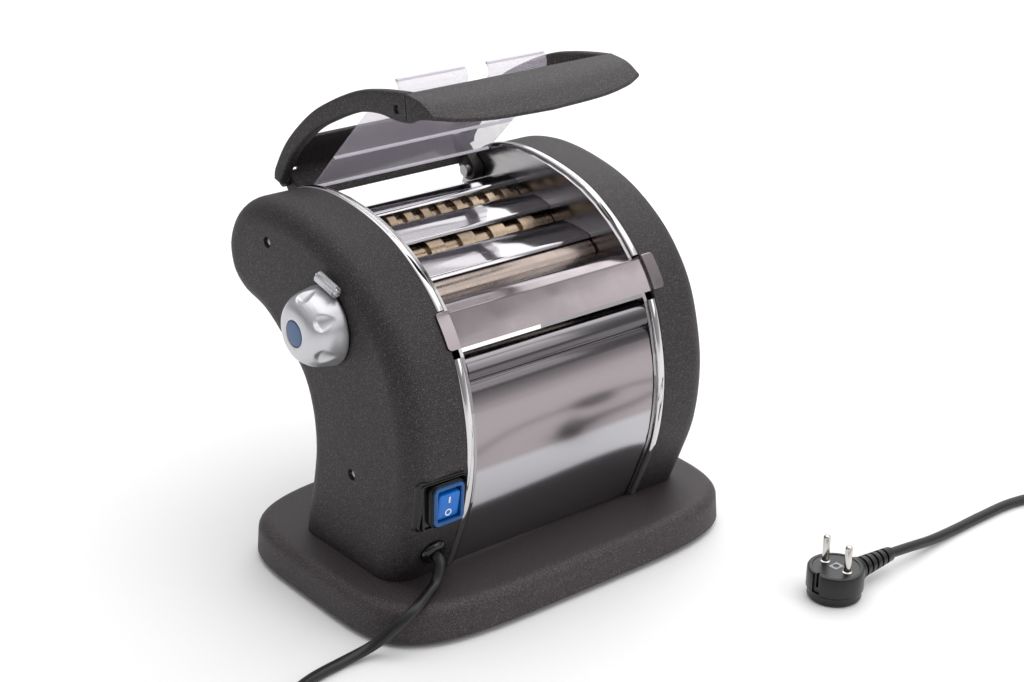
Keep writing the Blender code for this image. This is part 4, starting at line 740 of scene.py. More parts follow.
# Plug: a moulded black plug lying with its pins up, with a flat notch, an
# earth contact, a flange for the fingers and a ribbed strain relief.
PLUG_MIDDLE = (125.0, -207.0)
PLUG_RADIUS = 19.0
PLUG_PROFILE = ((0.0, 0.0), (15.5, 0.0), (17.2, 0.6), (18.0, 2.0), (17.2, 4.5), (17.4, 6.0),
                (19.0, 7.5), (19.0, 20.2), (18.5, 21.4), (17.2, 22.0), (15.8, 22.0), (15.4, 21.5),
                (0.0, 21.5))
PIN_SPACING = 19.0
PIN_PROFILE = ((0.0, 20.0), (3.4, 20.0), (3.4, 21.9), (2.4, 22.3), (2.4, 39.2), (2.1, 40.2),
               (1.3, 40.8), (0.0, 41.0))
RELIEF_Z = 12.0
RELIEF_END_X = 180.0
RELIEF_RIBS = 5
RELIEF_START_RADIUS = 8.0
RELIEF_TAPER = 3.0
RELIEF_GROOVE = 1.6


def upright(x, y):
    """A placer for turned pieces that stand up at a place."""
    return lambda u, v, h: seat(x + u, y + v, h)


def block_at(name, low, high, rounding=0.6):
    """A block between two corners with rounded edges."""
    mesh = bmesh.new()
    bmesh.ops.create_cube(mesh, size=1.0)
    span = Vector(high) - Vector(low)
    middle = (Vector(high) + Vector(low)) / 2
    for vert in mesh.verts:
        vert.co = seat(*(vert.co * span + middle))
    if rounding:
        bmesh.ops.bevel(mesh, geom=mesh.edges[:], offset=rounding * MM, segments=3, affect="EDGES")
    data = bpy.data.meshes.new(name)
    mesh.to_mesh(data)
    mesh.free()
    made = bpy.data.objects.new(name, data)
    bpy.context.scene.collection.objects.link(made)
    return made


def relief_profile():
    """The strain relief's radius along X: a cone cut by narrow grooves."""
    start = PLUG_MIDDLE[0] + PLUG_RADIUS - 4.0
    length = RELIEF_END_X - start
    profile = [(0.0, start), (RELIEF_START_RADIUS, start), (RELIEF_START_RADIUS, start + 8.0)]
    pitch = (length - 12.0) / RELIEF_RIBS
    for k in range(RELIEF_RIBS):
        x = start + 9.0 + k * pitch
        thick = RELIEF_START_RADIUS - RELIEF_TAPER * (x - start) / length
        thin = thick - RELIEF_GROOVE
        profile += [(thick, x), (thin, x + 0.3), (thin, x + pitch * 0.3),
                    (thick - 0.2, x + pitch * 0.36)]
    return [*profile, (5.0, RELIEF_END_X - 1.0), (4.6, RELIEF_END_X), (0.0, RELIEF_END_X)]


def add_plug():
    body = revolved("plug_moulding", PLUG_PROFILE, 72, upright(*PLUG_MIDDLE))
    relief = revolved("relief_cone", relief_profile(), 36,
                      lambda u, v, h: seat(h, PLUG_MIDDLE[1] + u, RELIEF_Z + v))
    notch = block_at("notch", (PLUG_MIDDLE[0] - 30.0, PLUG_MIDDLE[1] - 3.2, 8.0),
                     (PLUG_MIDDLE[0] - PLUG_RADIUS + 1.4, PLUG_MIDDLE[1] + 3.2, 30.0), 0.0)
    slot_cut = block_at("slot_cut", (PLUG_MIDDLE[0] - 30.0, PLUG_MIDDLE[1] - 1.0, 12.0),
                        (PLUG_MIDDLE[0] - PLUG_RADIUS + 3.4, PLUG_MIDDLE[1] + 1.0, 30.0), 0.0)
    carved(body, notch, slot_cut)
    carved(body, relief, operation="UNION")
    place_piece(body, BLACK, "housing", "black", "mains_plug")
    nickel = grained("nickel_plate", (0.62, 0.60, 0.57), 0.16, 600.0, 0.06, 1.0)
    collar = grained("grey_collar", (0.33, 0.33, 0.34), 0.4, 600.0, 0.06)
    pieces = [body]
    for side, name in ((-1, "near"), (1, "far")):
        y = PLUG_MIDDLE[1] + side * PIN_SPACING / 2
        pin = applied(revolved(f"plug_pin_{name}", PIN_PROFILE, 32, upright(PLUG_MIDDLE[0], y)))
        pieces.append(place_piece(pin, nickel, "housing", "steel"))
    contact = applied(block_at("plug_earth_contact", (PLUG_MIDDLE[0] - 4.2, PLUG_MIDDLE[1] - 3.4, 21.0),
                               (PLUG_MIDDLE[0] + 4.2, PLUG_MIDDLE[1] + 3.4, 21.9), 0.3))
    hole = revolved("contact_hole", ((0.0, 21.45), (2.2, 21.45), (2.2, 24.0), (0.0, 24.0)), 32,
                    upright(*PLUG_MIDDLE))
    pieces.append(place_piece(carved(contact, hole), collar, "housing", "black"))
    return pieces


PLUG = add_plug()
tuple(CORD_PATH[0])

# Side plates: two steel plates that carry the rollers, studs and gears. Their
# inner faces are bright and mirror the rollers softly.
STEEL_COLOUR = (0.36, 0.35, 0.355)


def brushed_steel(name, colour, roughness, stretch, strength=0.25):
    """Metal with fine lines along one way."""
    made, shader = new_finish(name, colour, roughness, 1.0)
    lines = add_noise(made, 500.0, 2.0, stretch)
    add_ramp(made, lines, ((0.3, roughness * 0.8), (0.7, roughness * 1.25)), shader.inputs["Roughness"])
    add_bump(made, shader, lines, strength, 0.00005)
    return made


def keep_packed(material, *nodes):
    """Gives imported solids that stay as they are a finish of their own."""
    for node in nodes:
        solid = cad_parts[node]
        solid.data.materials.clear()
        solid.data.materials.append(material)
        for face in solid.data.polygons:
            face.use_smooth = True
        solid.data.set_sharp_from_angle(angle=math.radians(35))


PLATE_STEEL = brushed_steel("bright_plate_steel", STEEL_COLOUR, 0.17, (1.0, 0.08, 1.0), 0.08)
keep_packed(PLATE_STEEL, "left_side_plate", "right_side_plate")

# Trims: bright pressed strips with a rounded ridge, clipped between the side
# plates and the caps, with a gap where the feed plate's ears pass over.
TRIM_X = (78.3, 84.0)
TRIM_SECTION = ((0.0, -4.0), (0.0, -0.2), (0.08, 0.35), (0.24, 0.8), (0.42, 1.0), (0.58, 1.0),
                (0.76, 0.8), (0.92, 0.35), (1.0, -0.2), (1.0, -4.0))
LOWER_TRIM_POINTS = (0, 5)
UPPER_TRIM_POINTS = (6, 12)
TRIM_FOOT_Z = 28.4


def polished_metal(name, colour, roughness):
    made, shader = new_finish(name, colour, roughness, 1.0)
    add_ramp(made, add_noise(made, 60.0, 2.0), ((0.3, roughness * 0.7), (0.7, roughness * 1.4)),
             shader.inputs["Roughness"])
    return made


CHROME = polished_metal("polished_chrome", (0.64, 0.63, 0.635), 0.07)


def trim_strip(name, side, points):
    line = body_line(*points)
    lines = [offset_line(line, out) for _, out in TRIM_SECTION]
    rings = []
    for i in range(len(line)):
        rings.append([seat(side * (TRIM_X[0] + share * (TRIM_X[1] - TRIM_X[0])),
                           lines[k][i].x, max(lines[k][i].y, TRIM_FOOT_Z))
                      for k, (share, _) in enumerate(TRIM_SECTION)])
    return applied(loft(name, rings), math.radians(55))


for side, hand in ((-1, "left"), (1, "right")):
    for level, points in (("lower", LOWER_TRIM_POINTS), ("upper", UPPER_TRIM_POINTS)):
        place_piece(trim_strip(f"{hand}_{level}_ridge", side, points), CHROME, "housing", "chrome",
                    f"{hand}_{level}_trim")

# Guide bars: three polished steel strips bent along their length, which steer
# the dough into the slots between them.
SHEET = 1.2
SHEET_HALF_X = 75.2
SHEET_EDGE = 0.35
BARS = {
    "rear_guide_bar": ((0.695, 0.885), (0.702, 0.897), (0.756, 0.901), (0.826, 0.879)),
    "middle_guide_bar": ((0.526, 0.841), (0.527, 0.854), (0.578, 0.868), (0.643, 0.872),
                         (0.648, 0.841)),
    "front_guide_bar": ((0.324, 0.801), (0.331, 0.812), (0.394, 0.821), (0.476, 0.823),
                        (0.481, 0.794)),
}


def rounded_bends(points, radius, steps=5):
    """A line of straight runs with each bend rounded by cutting its corner."""
    line = [points[0]]
    for before, corner, after in zip(points, points[1:], points[2:]):
        back, ahead = before - corner, after - corner
        reach = min(radius, back.length * 0.48, ahead.length * 0.48)
        start = corner + back.normalized() * reach
        end = corner + ahead.normalized() * reach
        for k in range(steps + 1):
            t = k / steps
            line.append(start * (1 - t)**2 + corner * (2 * t * (1 - t)) + end * t**2)
    return [*line, points[-1]]


def soft_edged(piece, width, least_bend=30.0):
    """The piece with its edges rounded where its faces meet at an angle."""
    soft = piece.modifiers.new("soft_edges", "BEVEL")
    soft.width = width * MM
    soft.segments = 3
    soft.limit_method = "ANGLE"
    soft.angle_limit = math.radians(least_bend)
    return piece


def bent_strip(name, line, half_x=SHEET_HALF_X, thickness=SHEET, edge=SHEET_EDGE):
    """A sheet bent along a line of the side view, thick to its right, with softened edges."""
    loop = [*line, *offset_line(line, -thickness)[::-1]]
    strip = loft(name, [[seat(x, y, z) for y, z in loop] for x in (-half_x, half_x)])
    return applied(soft_edged(strip, edge, 50.0))


BAR_STEEL = polished_metal("guide_bar_steel", (0.47, 0.46, 0.475), 0.09)
for bar, shares in BARS.items():
    strip = bent_strip(bar + "_strip", rounded_bends([on_body(share) for share in shares], 3.5))
    place_piece(strip, BAR_STEEL, "housing", "chrome", bar)

# Feed plate: one bright steel sheet in front of the smooth rollers, bent in
# towards them at its rear. Its ears lie over the trims on the caps, and the
# left one is drawn shorter than its solid, as in the photograph.
EAR_REACHES = {-1: 87.0, 1: 94.0}
EAR_FOLDS = {-1: 77.5, 1: 84.5}
FEED_START = 5.0
EAR_CORNER = 3.0
FEED_SINK = 2.5
FEED_FOLD = ((0.0, 0.0), (0.2, 0.1), (0.5, 0.6), (1.0, 0.95), (2.0, 1.0))
FEED_REAR_SINK = 0.3
FEED_REAR_SHARES = ((0.178, 0.798), (0.272, 0.776))
FEED_STEPS = 40
FEED_STEEL_COLOUR = (0.235, 0.208, 0.215)


def feed_reach(place, ear_start, ear_end, reach):
    """How far the plate reaches aside at a place along it, with an ear's round corners."""
    to_end = min(place - ear_start, ear_end - place)
    if to_end < 0.0:
        return SHEET_HALF_X
    if to_end > EAR_CORNER:
        return reach
    return reach - EAR_CORNER + EAR_CORNER * math.sqrt(1.0 - (1.0 - to_end / EAR_CORNER)**2)


def line_places(line):
    places = [0.0]
    for a, b in zip(line, line[1:]):
        places.append(places[-1] + (b - a).length)
    return places


def resampled(line, places):
    """Points of a line at given distances along it."""
    marks = line_places(line)
    points = []
    for place in places:
        i = max(k for k in range(len(marks) - 1) if marks[k] <= place + 1e-9)
        share = (place - marks[i]) / (marks[i + 1] - marks[i])
        points.append(line[i].lerp(line[i + 1], min(share, 1.0)))
    return points


def add_feed_plate():
    front = offset_line(body_line(5, 6), 1.5)
    front[0] += (front[1] - front[0]).normalized() * 0.6
    front[-1] += (front[-2] - front[-1]).normalized() * 0.6
    ear_length = line_places(front)[-1]
    line = [*front[:-1], *rounded_bends([front[-2].lerp(front[-1], 0.8),
                                         *(on_body(share) for share in FEED_REAR_SHARES)], 3.0)]
    total = line_places(line)[-1]
    corner_turns = [EAR_CORNER * (1 - math.cos(math.pi / 2 * k / 8)) for k in range(9)]
    spaced = [total * k / FEED_STEPS for k in range(FEED_STEPS + 1)]
    places = sorted({*(FEED_START + turn for turn in corner_turns),
                     *(ear_length - turn for turn in corner_turns),
                     ear_length + 0.01, *(place for place in spaced if place > FEED_START)})
    line = resampled(line, places)
    ways = [(b - a).normalized() for a, b in zip(line, [*line[1:], line[-1] * 2 - line[-2]])]
    rings = []
    for place, point, way in zip(places, line, ways):
        out = Vector((-way.y, way.x))
        in_ears = place <= ear_length
        past = max(place - ear_length, 0.0) / (total - ear_length)
        sink = FEED_SINK * (1.0 - (1.0 - FEED_REAR_SINK) * past)
        halves = {}
        for side, reach in EAR_REACHES.items():
            end = feed_reach(place, FEED_START, ear_length, reach)
            fold = EAR_FOLDS[side] if in_ears else SHEET_HALF_X
            halves[side] = [(side * end, 0.0 if in_ears else 1.0)]
            halves[side] += [(side * (fold - step), share if in_ears else 1.0)
                             for step, share in FEED_FOLD]
        top = halves[-1] + halves[1][::-1]
        ring = [seat(x, *(point - out * sink * share)) for x, share in top]
        ring += [seat(x, *(point - out * (sink * share + SHEET))) for x, share in top[::-1]]
        rings.append(ring)
    plate = applied(loft("feed_plate_sheet", rings), math.radians(50))
    place_piece(plate, polished_metal("feed_plate_steel", FEED_STEEL_COLOUR, 0.14), "housing", "chrome",
                "feed_plate")


add_feed_plate()

# Front cover: one sheet of polished steel, bowed like the caps from the base up
# and rolled over at its top. Its tone changes with height, to come near the
# bands that the photograph's studio leaves in it.
COVER_INSET = 1.8
BEAD_SHARES = ((0.035, 0.569), (0.042, 0.585), (0.051, 0.594), (0.043, 0.607),
               (0.046, 0.627), (0.057, 0.648), (0.072, 0.660), (0.113, 0.661))
cover_line = [Vector((y, max(z, BODY_FOOT_Z + 0.7)))
              for y, z in offset_line(body_line(0, 4), -COVER_INSET)]
cover_line = [*cover_line[:-1],
              *rounded_bends([cover_line[-1], *(on_body(share) for share in BEAD_SHARES)], 2.5)]
# The tones below are painted reflections and painted shade: a fixed colour for each height of the
# cover, cool below, warmer in the middle and dark near the top.
COVER_PAINTED_REFLECTIONS = ((0.0, (0.46, 0.455, 0.475)), (0.402, (0.46, 0.455, 0.475)), (0.418, (0.335, 0.30, 0.31)),
               (0.58, (0.335, 0.30, 0.31)), (0.63, (0.12, 0.112, 0.12)), (0.68, (0.13, 0.122, 0.13)),
               (0.72, (0.36, 0.35, 0.365)))
COVER_PAINTED_REFLECTIONS_HEIGHT = 0.25


def cover_steel_painted_reflections():
    """Bright steel with painted reflections and painted shade: its colour is cool below, warmer in the
    middle and dark near the top.
    """
    made, shader = new_finish("front_cover_steel_painted_reflections", COVER_PAINTED_REFLECTIONS[0][1], 0.17, 1.0)
    tree = made.node_tree
    place = tree.nodes.new("ShaderNodeTexCoord")
    split = tree.nodes.new("ShaderNodeSeparateXYZ")
    ramp = colour_ramp(tree, COVER_PAINTED_REFLECTIONS)
    tree.links.new(place.outputs["Object"], split.inputs[0])
    tree.links.new(scaled(tree, split.outputs["Z"], "DIVIDE", COVER_PAINTED_REFLECTIONS_HEIGHT), ramp.inputs["Fac"])
    tree.links.new(ramp.outputs["Color"], shader.inputs["Base Color"])
    return made


place_piece(bent_strip("front_cover_sheet", cover_line), cover_steel_painted_reflections(), "housing", "chrome",
            "front_cover")

# Rear cover: a coated sheet bent round the hump behind the fine cutters. The
# photograph doesn't show it, so its form is a guess.
REAR_COVER_SHARES = ((0.864, 0.836), (0.906, 0.796), (0.934, 0.753), (0.948, 0.722), (0.934, 0.690))
rear_start = on_body(BARS["rear_guide_bar"][-1]) + Vector((0.6, -3.1))
rear_line = smooth_line([rear_start, *(on_body(share) for share in REAR_COVER_SHARES)], 6)
place_piece(bent_strip("rear_cover_sheet", rear_line), BODY_COAT_PAINTED_SHADE, "housing", "anthracite", "rear_cover")

# Outlet chute and tie rods: a bent steel sheet slopes down from the front over
# the motor to the open rear, and two rods hold the side plates apart below.
DULL_STEEL = brushed_steel("dull_steel", (0.36, 0.35, 0.34), 0.36, (0.1, 1.0, 1.0))
keep_packed(DULL_STEEL, "outlet_chute", "lower_tie_rod_front", "lower_tie_rod_rear")

# Cutters: bronze rods turned down between square-edged discs. The discs of
# each pair run in the grooves of the other and cut the sheet like scissors.
ROLLER_HALF = 74.8
GROOVE_DEPTH = 3.0
DISC_PLAY = 0.4
DISC_CHAMFER = 0.3
JOURNAL_RADIUS = 5.0
LEFT_END = -83.0
CUTTERS = {
    "fine_cutter_upper": ("fine_upper", 14.0, 10),
    "fine_cutter_lower": ("fine_lower", 14.0, 11),
    "wide_cutter_upper": ("wide_upper", 26.0, 5),
    "wide_cutter_lower": ("wide_lower", 26.0, 6),
}
TURNED_STEPS = 64


def on_axis_of(node):
    """A placer for pieces turned about a packed roller's axis, its radius and its right end."""
    low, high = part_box(node)
    y, z = (low.y + high.y) / 2, (low.z + high.z) / 2
    radius = (high.z - low.z) / 2 / MM
    return (lambda u, v, h: Vector((h * MM, y + u * MM, z + v * MM))), radius, high.x / MM


def cutter_profile(radius, pitch, count, right_end):
    core = radius - GROOVE_DEPTH
    profile = [(0.0, LEFT_END), (JOURNAL_RADIUS, LEFT_END), (JOURNAL_RADIUS, -ROLLER_HALF),
               (core, -ROLLER_HALF)]
    for k in range(count):
        middle = (k - (count - 1) / 2) * pitch
        low = max(middle - (pitch / 2 - DISC_PLAY) / 2, -ROLLER_HALF)
        high = min(middle + (pitch / 2 - DISC_PLAY) / 2, ROLLER_HALF)
        profile += [(core, low), (radius - DISC_CHAMFER, low), (radius, low + DISC_CHAMFER),
                    (radius, high - DISC_CHAMFER), (radius - DISC_CHAMFER, high), (core, high)]
    return [*profile, (core, ROLLER_HALF), (JOURNAL_RADIUS, ROLLER_HALF),
            (JOURNAL_RADIUS, right_end), (0.0, right_end)]


BRONZE = brushed_steel("cutter_bronze", (0.37, 0.285, 0.205), 0.30, (1.0, 0.15, 0.15), 0.08)
for node, (body, pitch, count) in CUTTERS.items():
    placer, radius, right_end = on_axis_of(node)
    cutter = revolved(node + "_turned", cutter_profile(radius, pitch, count, right_end),
                      TURNED_STEPS, placer)
    place_piece(applied(cutter, math.radians(30)), BRONZE, body, "bronze", node)

# Smooth rollers: ground steel, a solid one at the rear that is driven and a
# hollow one at the front that slides away on its shaft to set the thickness.
ROLLER_EDGE = 0.8
HOLLOW_BORE = 4.3
HOLLOW_JOURNAL = 6.6


def add_smooth_rollers():
    ground = brushed_steel("ground_steel", (0.33, 0.275, 0.245), 0.27, (0.25, 0.12, 0.12), 0.04)
    placer, radius, right_end = on_axis_of("fixed_smooth_roller")
    fixed = revolved("fixed_roller_turned", (
        (0.0, LEFT_END), (JOURNAL_RADIUS, LEFT_END), (JOURNAL_RADIUS, -ROLLER_HALF),
        (radius - ROLLER_EDGE, -ROLLER_HALF), (radius, -ROLLER_HALF + ROLLER_EDGE),
        (radius, ROLLER_HALF - ROLLER_EDGE), (radius - ROLLER_EDGE, ROLLER_HALF),
        (JOURNAL_RADIUS, ROLLER_HALF), (JOURNAL_RADIUS, right_end), (0.0, right_end)),
        TURNED_STEPS, placer)
    place_piece(applied(fixed), ground, "fixed_roller", "steel", "fixed_smooth_roller")
    placer, radius, right_end = on_axis_of("adjustable_smooth_roller")
    hollow = revolved("adjustable_roller_turned", (
        (HOLLOW_BORE, -ROLLER_HALF), (radius - ROLLER_EDGE, -ROLLER_HALF),
        (radius, -ROLLER_HALF + ROLLER_EDGE),
        (radius, ROLLER_HALF - ROLLER_EDGE), (radius - ROLLER_EDGE, ROLLER_HALF),
        (HOLLOW_JOURNAL, ROLLER_HALF), (HOLLOW_JOURNAL, right_end), (HOLLOW_BORE, right_end),
        (HOLLOW_BORE, -ROLLER_HALF)), TURNED_STEPS, placer)
    place_piece(applied(hollow), ground, "adjustable_roller", "steel", "adjustable_smooth_roller")


add_smooth_rollers()

# Gear train, motor and setting shaft: cut steel gears on the roller ends,
# moulded nylon idlers and reduction gear, and a geared motor in the foot.
GEAR_STEEL = brushed_steel("gear_steel", (0.42, 0.41, 0.40), 0.33, (1.0, 1.0, 1.0))
keep_packed(GEAR_STEEL, "adjustable_smooth_gear", "fixed_smooth_gear", "fine_cutter_upper_gear",
            "fine_cutter_lower_gear", "wide_cutter_upper_gear", "wide_cutter_lower_gear",
            "motor_shaft_pinion", "regulator_shaft", "roller_shaft")
keep_packed(grained("white_nylon", (0.72, 0.71, 0.66), 0.45, 500.0, 0.1),
            "front_idler_gear", "rear_idler_gear", "reduction_gear")
keep_packed(grained("motor_paint", (0.10, 0.10, 0.11), 0.4, 400.0, 0.1, 0.5), "gear_motor")

# Thickness knob: a satin silver bell with six scoops for the fingers round its
# shoulder, a grey-blue disc in its face, and a silver index block beside it.
KNOB_Y = 6.4
KNOB_Z = 188.2
KNOB_BACK_X = -127.5
KNOB_STATIONS = (
    (0.0, 0.0), (22.0, 0.0), (24.6, 0.0), (25.6, 0.6), (26.0, 1.5), (25.9, 2.6), (25.5, 5.0),
    (24.9, 8.0), (24.4, 11.0), (23.9, 13.5), (23.0, 16.0), (21.6, 18.4), (19.9, 20.6),
    (17.9, 22.4), (15.6, 23.6), (13.2, 24.2), (11.0, 24.5), (9.4, 24.5), (8.9, 24.2),
    (8.8, 23.6), (8.8, 22.0), (0.0, 22.0),
)
KNOB_STEPS = 192
SCOOPS = 6
SCOOP_RADIUS = 8.6
SCOOP_DEPTH = 6.6
SCOOP_START = 4.5
SCOOP_LENGTH = 12.5
SCOOP_OUTER = 26.2
SCOOP_INNER = 15.0
SCOOP_SOFTNESS = 0.9
DISC_PROFILE = ((0.0, 22.3), (8.4, 22.3), (8.4, 24.0), (8.0, 24.4), (7.2, 24.5), (0.0, 24.5))


def scooped(radius, height, angle):
    """The knob's radius where a finger scoop cuts into it, deepest at the shoulder."""
    share = min(max((height - SCOOP_START) / SCOOP_LENGTH, 0.0), 1.0)
    depth = SCOOP_DEPTH * share**1.2
    if radius < SCOOP_INNER or depth == 0.0:
        return radius
    size = SCOOP_RADIUS * (0.35 + 0.65 * share)
    middle = SCOOP_OUTER - depth + size
    step = 2 * math.pi / SCOOPS
    off = (angle % step) - step / 2
    reach = size**2 - (middle * math.sin(off))**2
    if reach <= 0.0:
        return radius
    cut = middle * math.cos(off) - math.sqrt(reach)
    blend = min(max(0.5 + (radius - cut) / SCOOP_SOFTNESS, 0.0), 1.0)
    return radius * (1 - blend) + cut * blend - 0.22 * blend * (1 - blend)


def knob_rows():
    """The knob's turned profile, finely stepped along its flank."""
    rows = []
    for (r0, h0), (r1, h1) in zip(KNOB_STATIONS, KNOB_STATIONS[1:]):
        steps = 3 if min(r0, r1) > 16.0 else 1
        rows += [(r0 + (r1 - r0) * k / steps, h0 + (h1 - h0) * k / steps) for k in range(steps)]
    return [*rows, KNOB_STATIONS[-1]]


def add_knob():
    rings = []
    for radius, height in knob_rows():
        ring = []
        for k in range(KNOB_STEPS):
            angle = 2 * math.pi * k / KNOB_STEPS
            r = scooped(radius, height, angle)
            ring.append(seat(KNOB_BACK_X - height, KNOB_Y + r * math.cos(angle),
                             KNOB_Z + r * math.sin(angle)))
        rings.append(ring)
    knob = welded(loft("knob_bell", rings, capped=False))
    silver = grained("satin_silver", (0.60, 0.60, 0.62), 0.34, 1100.0, 0.12, 0.75)
    place_piece(applied(knob, math.radians(45)), silver, "knob", "satin", "regulator_knob")
    disc_blue = grained("grey_blue_disc", (0.055, 0.12, 0.26), 0.3, 900.0, 0.08)
    insert = revolved("knob_disc", DISC_PROFILE, 64,
                      lambda u, v, h: seat(KNOB_BACK_X - h, KNOB_Y + u, KNOB_Z + v))
    place_piece(applied(insert), disc_blue, "knob", "blue", "knob_insert")
    return silver


SILVER = add_knob()
BLOCK_SIZE = (7.0, 24.0, 8.0)
BLOCK_WAY = math.radians(104.0)
BLOCK_REACH = 30.8
BLOCK_X = -130.8
block = block_at("index_block", [-s / 2 for s in BLOCK_SIZE], [s / 2 for s in BLOCK_SIZE], 2.4)
block.data.transform(
    Matrix.Translation(seat(BLOCK_X, KNOB_Y + BLOCK_REACH * math.cos(BLOCK_WAY),
                            KNOB_Z + BLOCK_REACH * math.sin(BLOCK_WAY)))
    @ Matrix.Rotation(BLOCK_WAY - math.pi / 2, 4, "X") @ Matrix.Translation(-seat(0.0, 0.0, 0.0)))
place_piece(applied(block), SILVER, "housing", "satin", "knob_index_block")

# Lid arms: two arched arms of the lid frame in powder coat, rounded along
# their edges, each with a lug at its foot that turns on a hinge pin.
HINGE_Y = 112.0
HINGE_Z = 226.0
LID_REACH = 165.0
LID_RISE = 108.5
ARM_X = (75.0, 83.0)
ARM_THICKNESS = 15.0
ARM_SHARES = (
    (-0.105, 0.152, 0.36), (-0.091, 0.221, 0.37), (-0.003, 0.406, 0.38), (0.152, 0.608, 0.40),
    (0.300, 0.735, 0.43), (0.470, 0.846, 0.45), (0.606, 0.892, 0.50), (0.727, 0.906, 0.62),
    (0.797, 0.917, 0.63),
)
ARM_ROUNDING = 2.6
ARM_SCREW_PLACE = (-10.0, 323.0)
ARM_CORNER_STEPS = 5
LUG_X = (66.5, 75.2)
LUG_RADIUS = 8.0
LUG_ROOT_RADIUS = 5.2
PIN_HEAD_X = 62.5
PIN_END_X = 82.0


def on_lid(share):
    """A point of the lid's side view from its shares of the reach and rise."""
    return Vector((HINGE_Y - share[0] * LID_REACH, HINGE_Z + share[1] * LID_RISE))


def arm_section(half):
    """A rounded rectangle: places across the arm, 0 to 1 in X, and aside from its line."""
    width = ARM_X[1] - ARM_X[0]
    corner = min(ARM_ROUNDING, half * 0.9)
    frame_line = rounded_frame((0.0, width), 0.0, 2 * half, 0.0, corner, ARM_CORNER_STEPS)
    return [(across / width, aside) for across, aside in frame_line]


def round_point(middle, radius, angle):
    return middle + Vector((math.cos(angle), math.sin(angle))) * radius


def lid_arm(name, side):
    line = smooth_line([Vector((*on_lid(share), share[2] * ARM_THICKNESS)) for share in ARM_SHARES])
    rings = []
    for i, (y, z, half) in enumerate(line):
        before, after = line[max(i - 1, 0)], line[min(i + 1, len(line) - 1)]
        way = Vector((after.x - before.x, after.y - before.y)).normalized()
        aside = Vector((-way.y, way.x))
        rings.append([seat(side * (ARM_X[0] + share * (ARM_X[1] - ARM_X[0])),
                           *(Vector((y, z)) + aside * out)) for share, out in arm_section(half)])
    return applied(loft(name, rings))


def lid_lug(name, side):
    hinge, root = Vector((HINGE_Y, HINGE_Z)), on_lid(ARM_SHARES[0])
    way = math.atan2(root.y - hinge.y, root.x - hinge.x)
    half_turn = [k * math.pi / 16 - math.pi / 2 for k in range(17)]
    loop = [round_point(hinge, LUG_RADIUS, way + math.pi + turn) for turn in half_turn]
    loop += [round_point(root, LUG_ROOT_RADIUS, way + turn) for turn in half_turn]
    lug = applied(soft_edged(loft(name, [[seat(side * x, y, z) for y, z in loop] for x in LUG_X]), 0.8))
    eye = revolved("eye", ((0.0, 60.0), (3.3, 60.0), (3.3, 80.0), (0.0, 80.0)), 32,
                   along_x(0.0, HINGE_Y, HINGE_Z, side))
    carved(lug, eye)
    bar = revolved("bar", ((0.0, 70.8), (5.0, 70.8), (5.0, 79.0), (0.0, 79.0)), 32,
                   along_x(0.0, root.x, root.y, side))
    return carved(lug, bar, operation="UNION")


# The lid frame wears the coat darkened further as painted shade.
LID_COAT_PAINTED_SHADE = powder_coat("lid_powder_coat_painted_shade", LID_PAINTED_SHADE_FACTOR)


def add_lid_arms():
    for side, hand in ((-1, "left"), (1, "right")):
        arm = lid_arm(f"lid_{hand}_bow", side)
        carved(arm, revolved("arm_screw_well", (
            (0.0, -2.2), (2.6, -2.2), (3.2, 1.0), (0.0, 1.0)), 32,
            along_x(ARM_X[1], *ARM_SCREW_PLACE, side)))
        place_piece(arm, LID_COAT_PAINTED_SHADE, "lid", "anthracite", f"lid_arm_{hand}")
        arm_screw = revolved(f"lid_{hand}_screw", (
            (0.0, -2.1), (2.0, -2.1), (2.1, -1.6), (1.6, -1.2), (0.0, -1.1)), 24,
            along_x(ARM_X[1], *ARM_SCREW_PLACE, side))
        place_piece(applied(arm_screw), BLACK, "lid", "anthracite")
        place_piece(lid_lug(f"lid_{hand}_lug", side), LID_COAT_PAINTED_SHADE, "lid", "anthracite")
        pin = revolved(f"lid_{hand}_pin", (
            (0.0, PIN_HEAD_X), (4.2, PIN_HEAD_X), (5.0, PIN_HEAD_X + 0.8), (5.0, 66.2), (3.0, 66.2),
            (3.0, PIN_END_X - 0.5), (2.5, PIN_END_X), (0.0, PIN_END_X)), 32,
            along_x(0.0, HINGE_Y, HINGE_Z, side))
        place_piece(applied(pin), DULL_STEEL, "housing", "steel", f"hinge_pin_{hand}")


add_lid_arms()

# Visor: the front of the lid frame, a thin coated blade that is deepest where
# it meets the arms and runs out to a soft point at both ends.
VISOR_MIDDLE = ((0.793, 1.003), (0.933, 0.968), (1.045, 0.881),
                (1.040, 0.860), (0.933, 0.935), (0.797, 0.970))
VISOR_END = ((0.793, 1.003), (0.891, 0.982), (0.964, 0.926),
             (0.960, 0.905), (0.897, 0.885), (0.805, 0.832))
VISOR_BLEND = ((0.0, 0.0, 0.0), (0.5, 0.16, 0.0), (0.8, 0.5, 0.08), (0.93, 0.8, 0.6), (1.0, 1.0, 1.0))
VISOR_HALF_X = 83.0


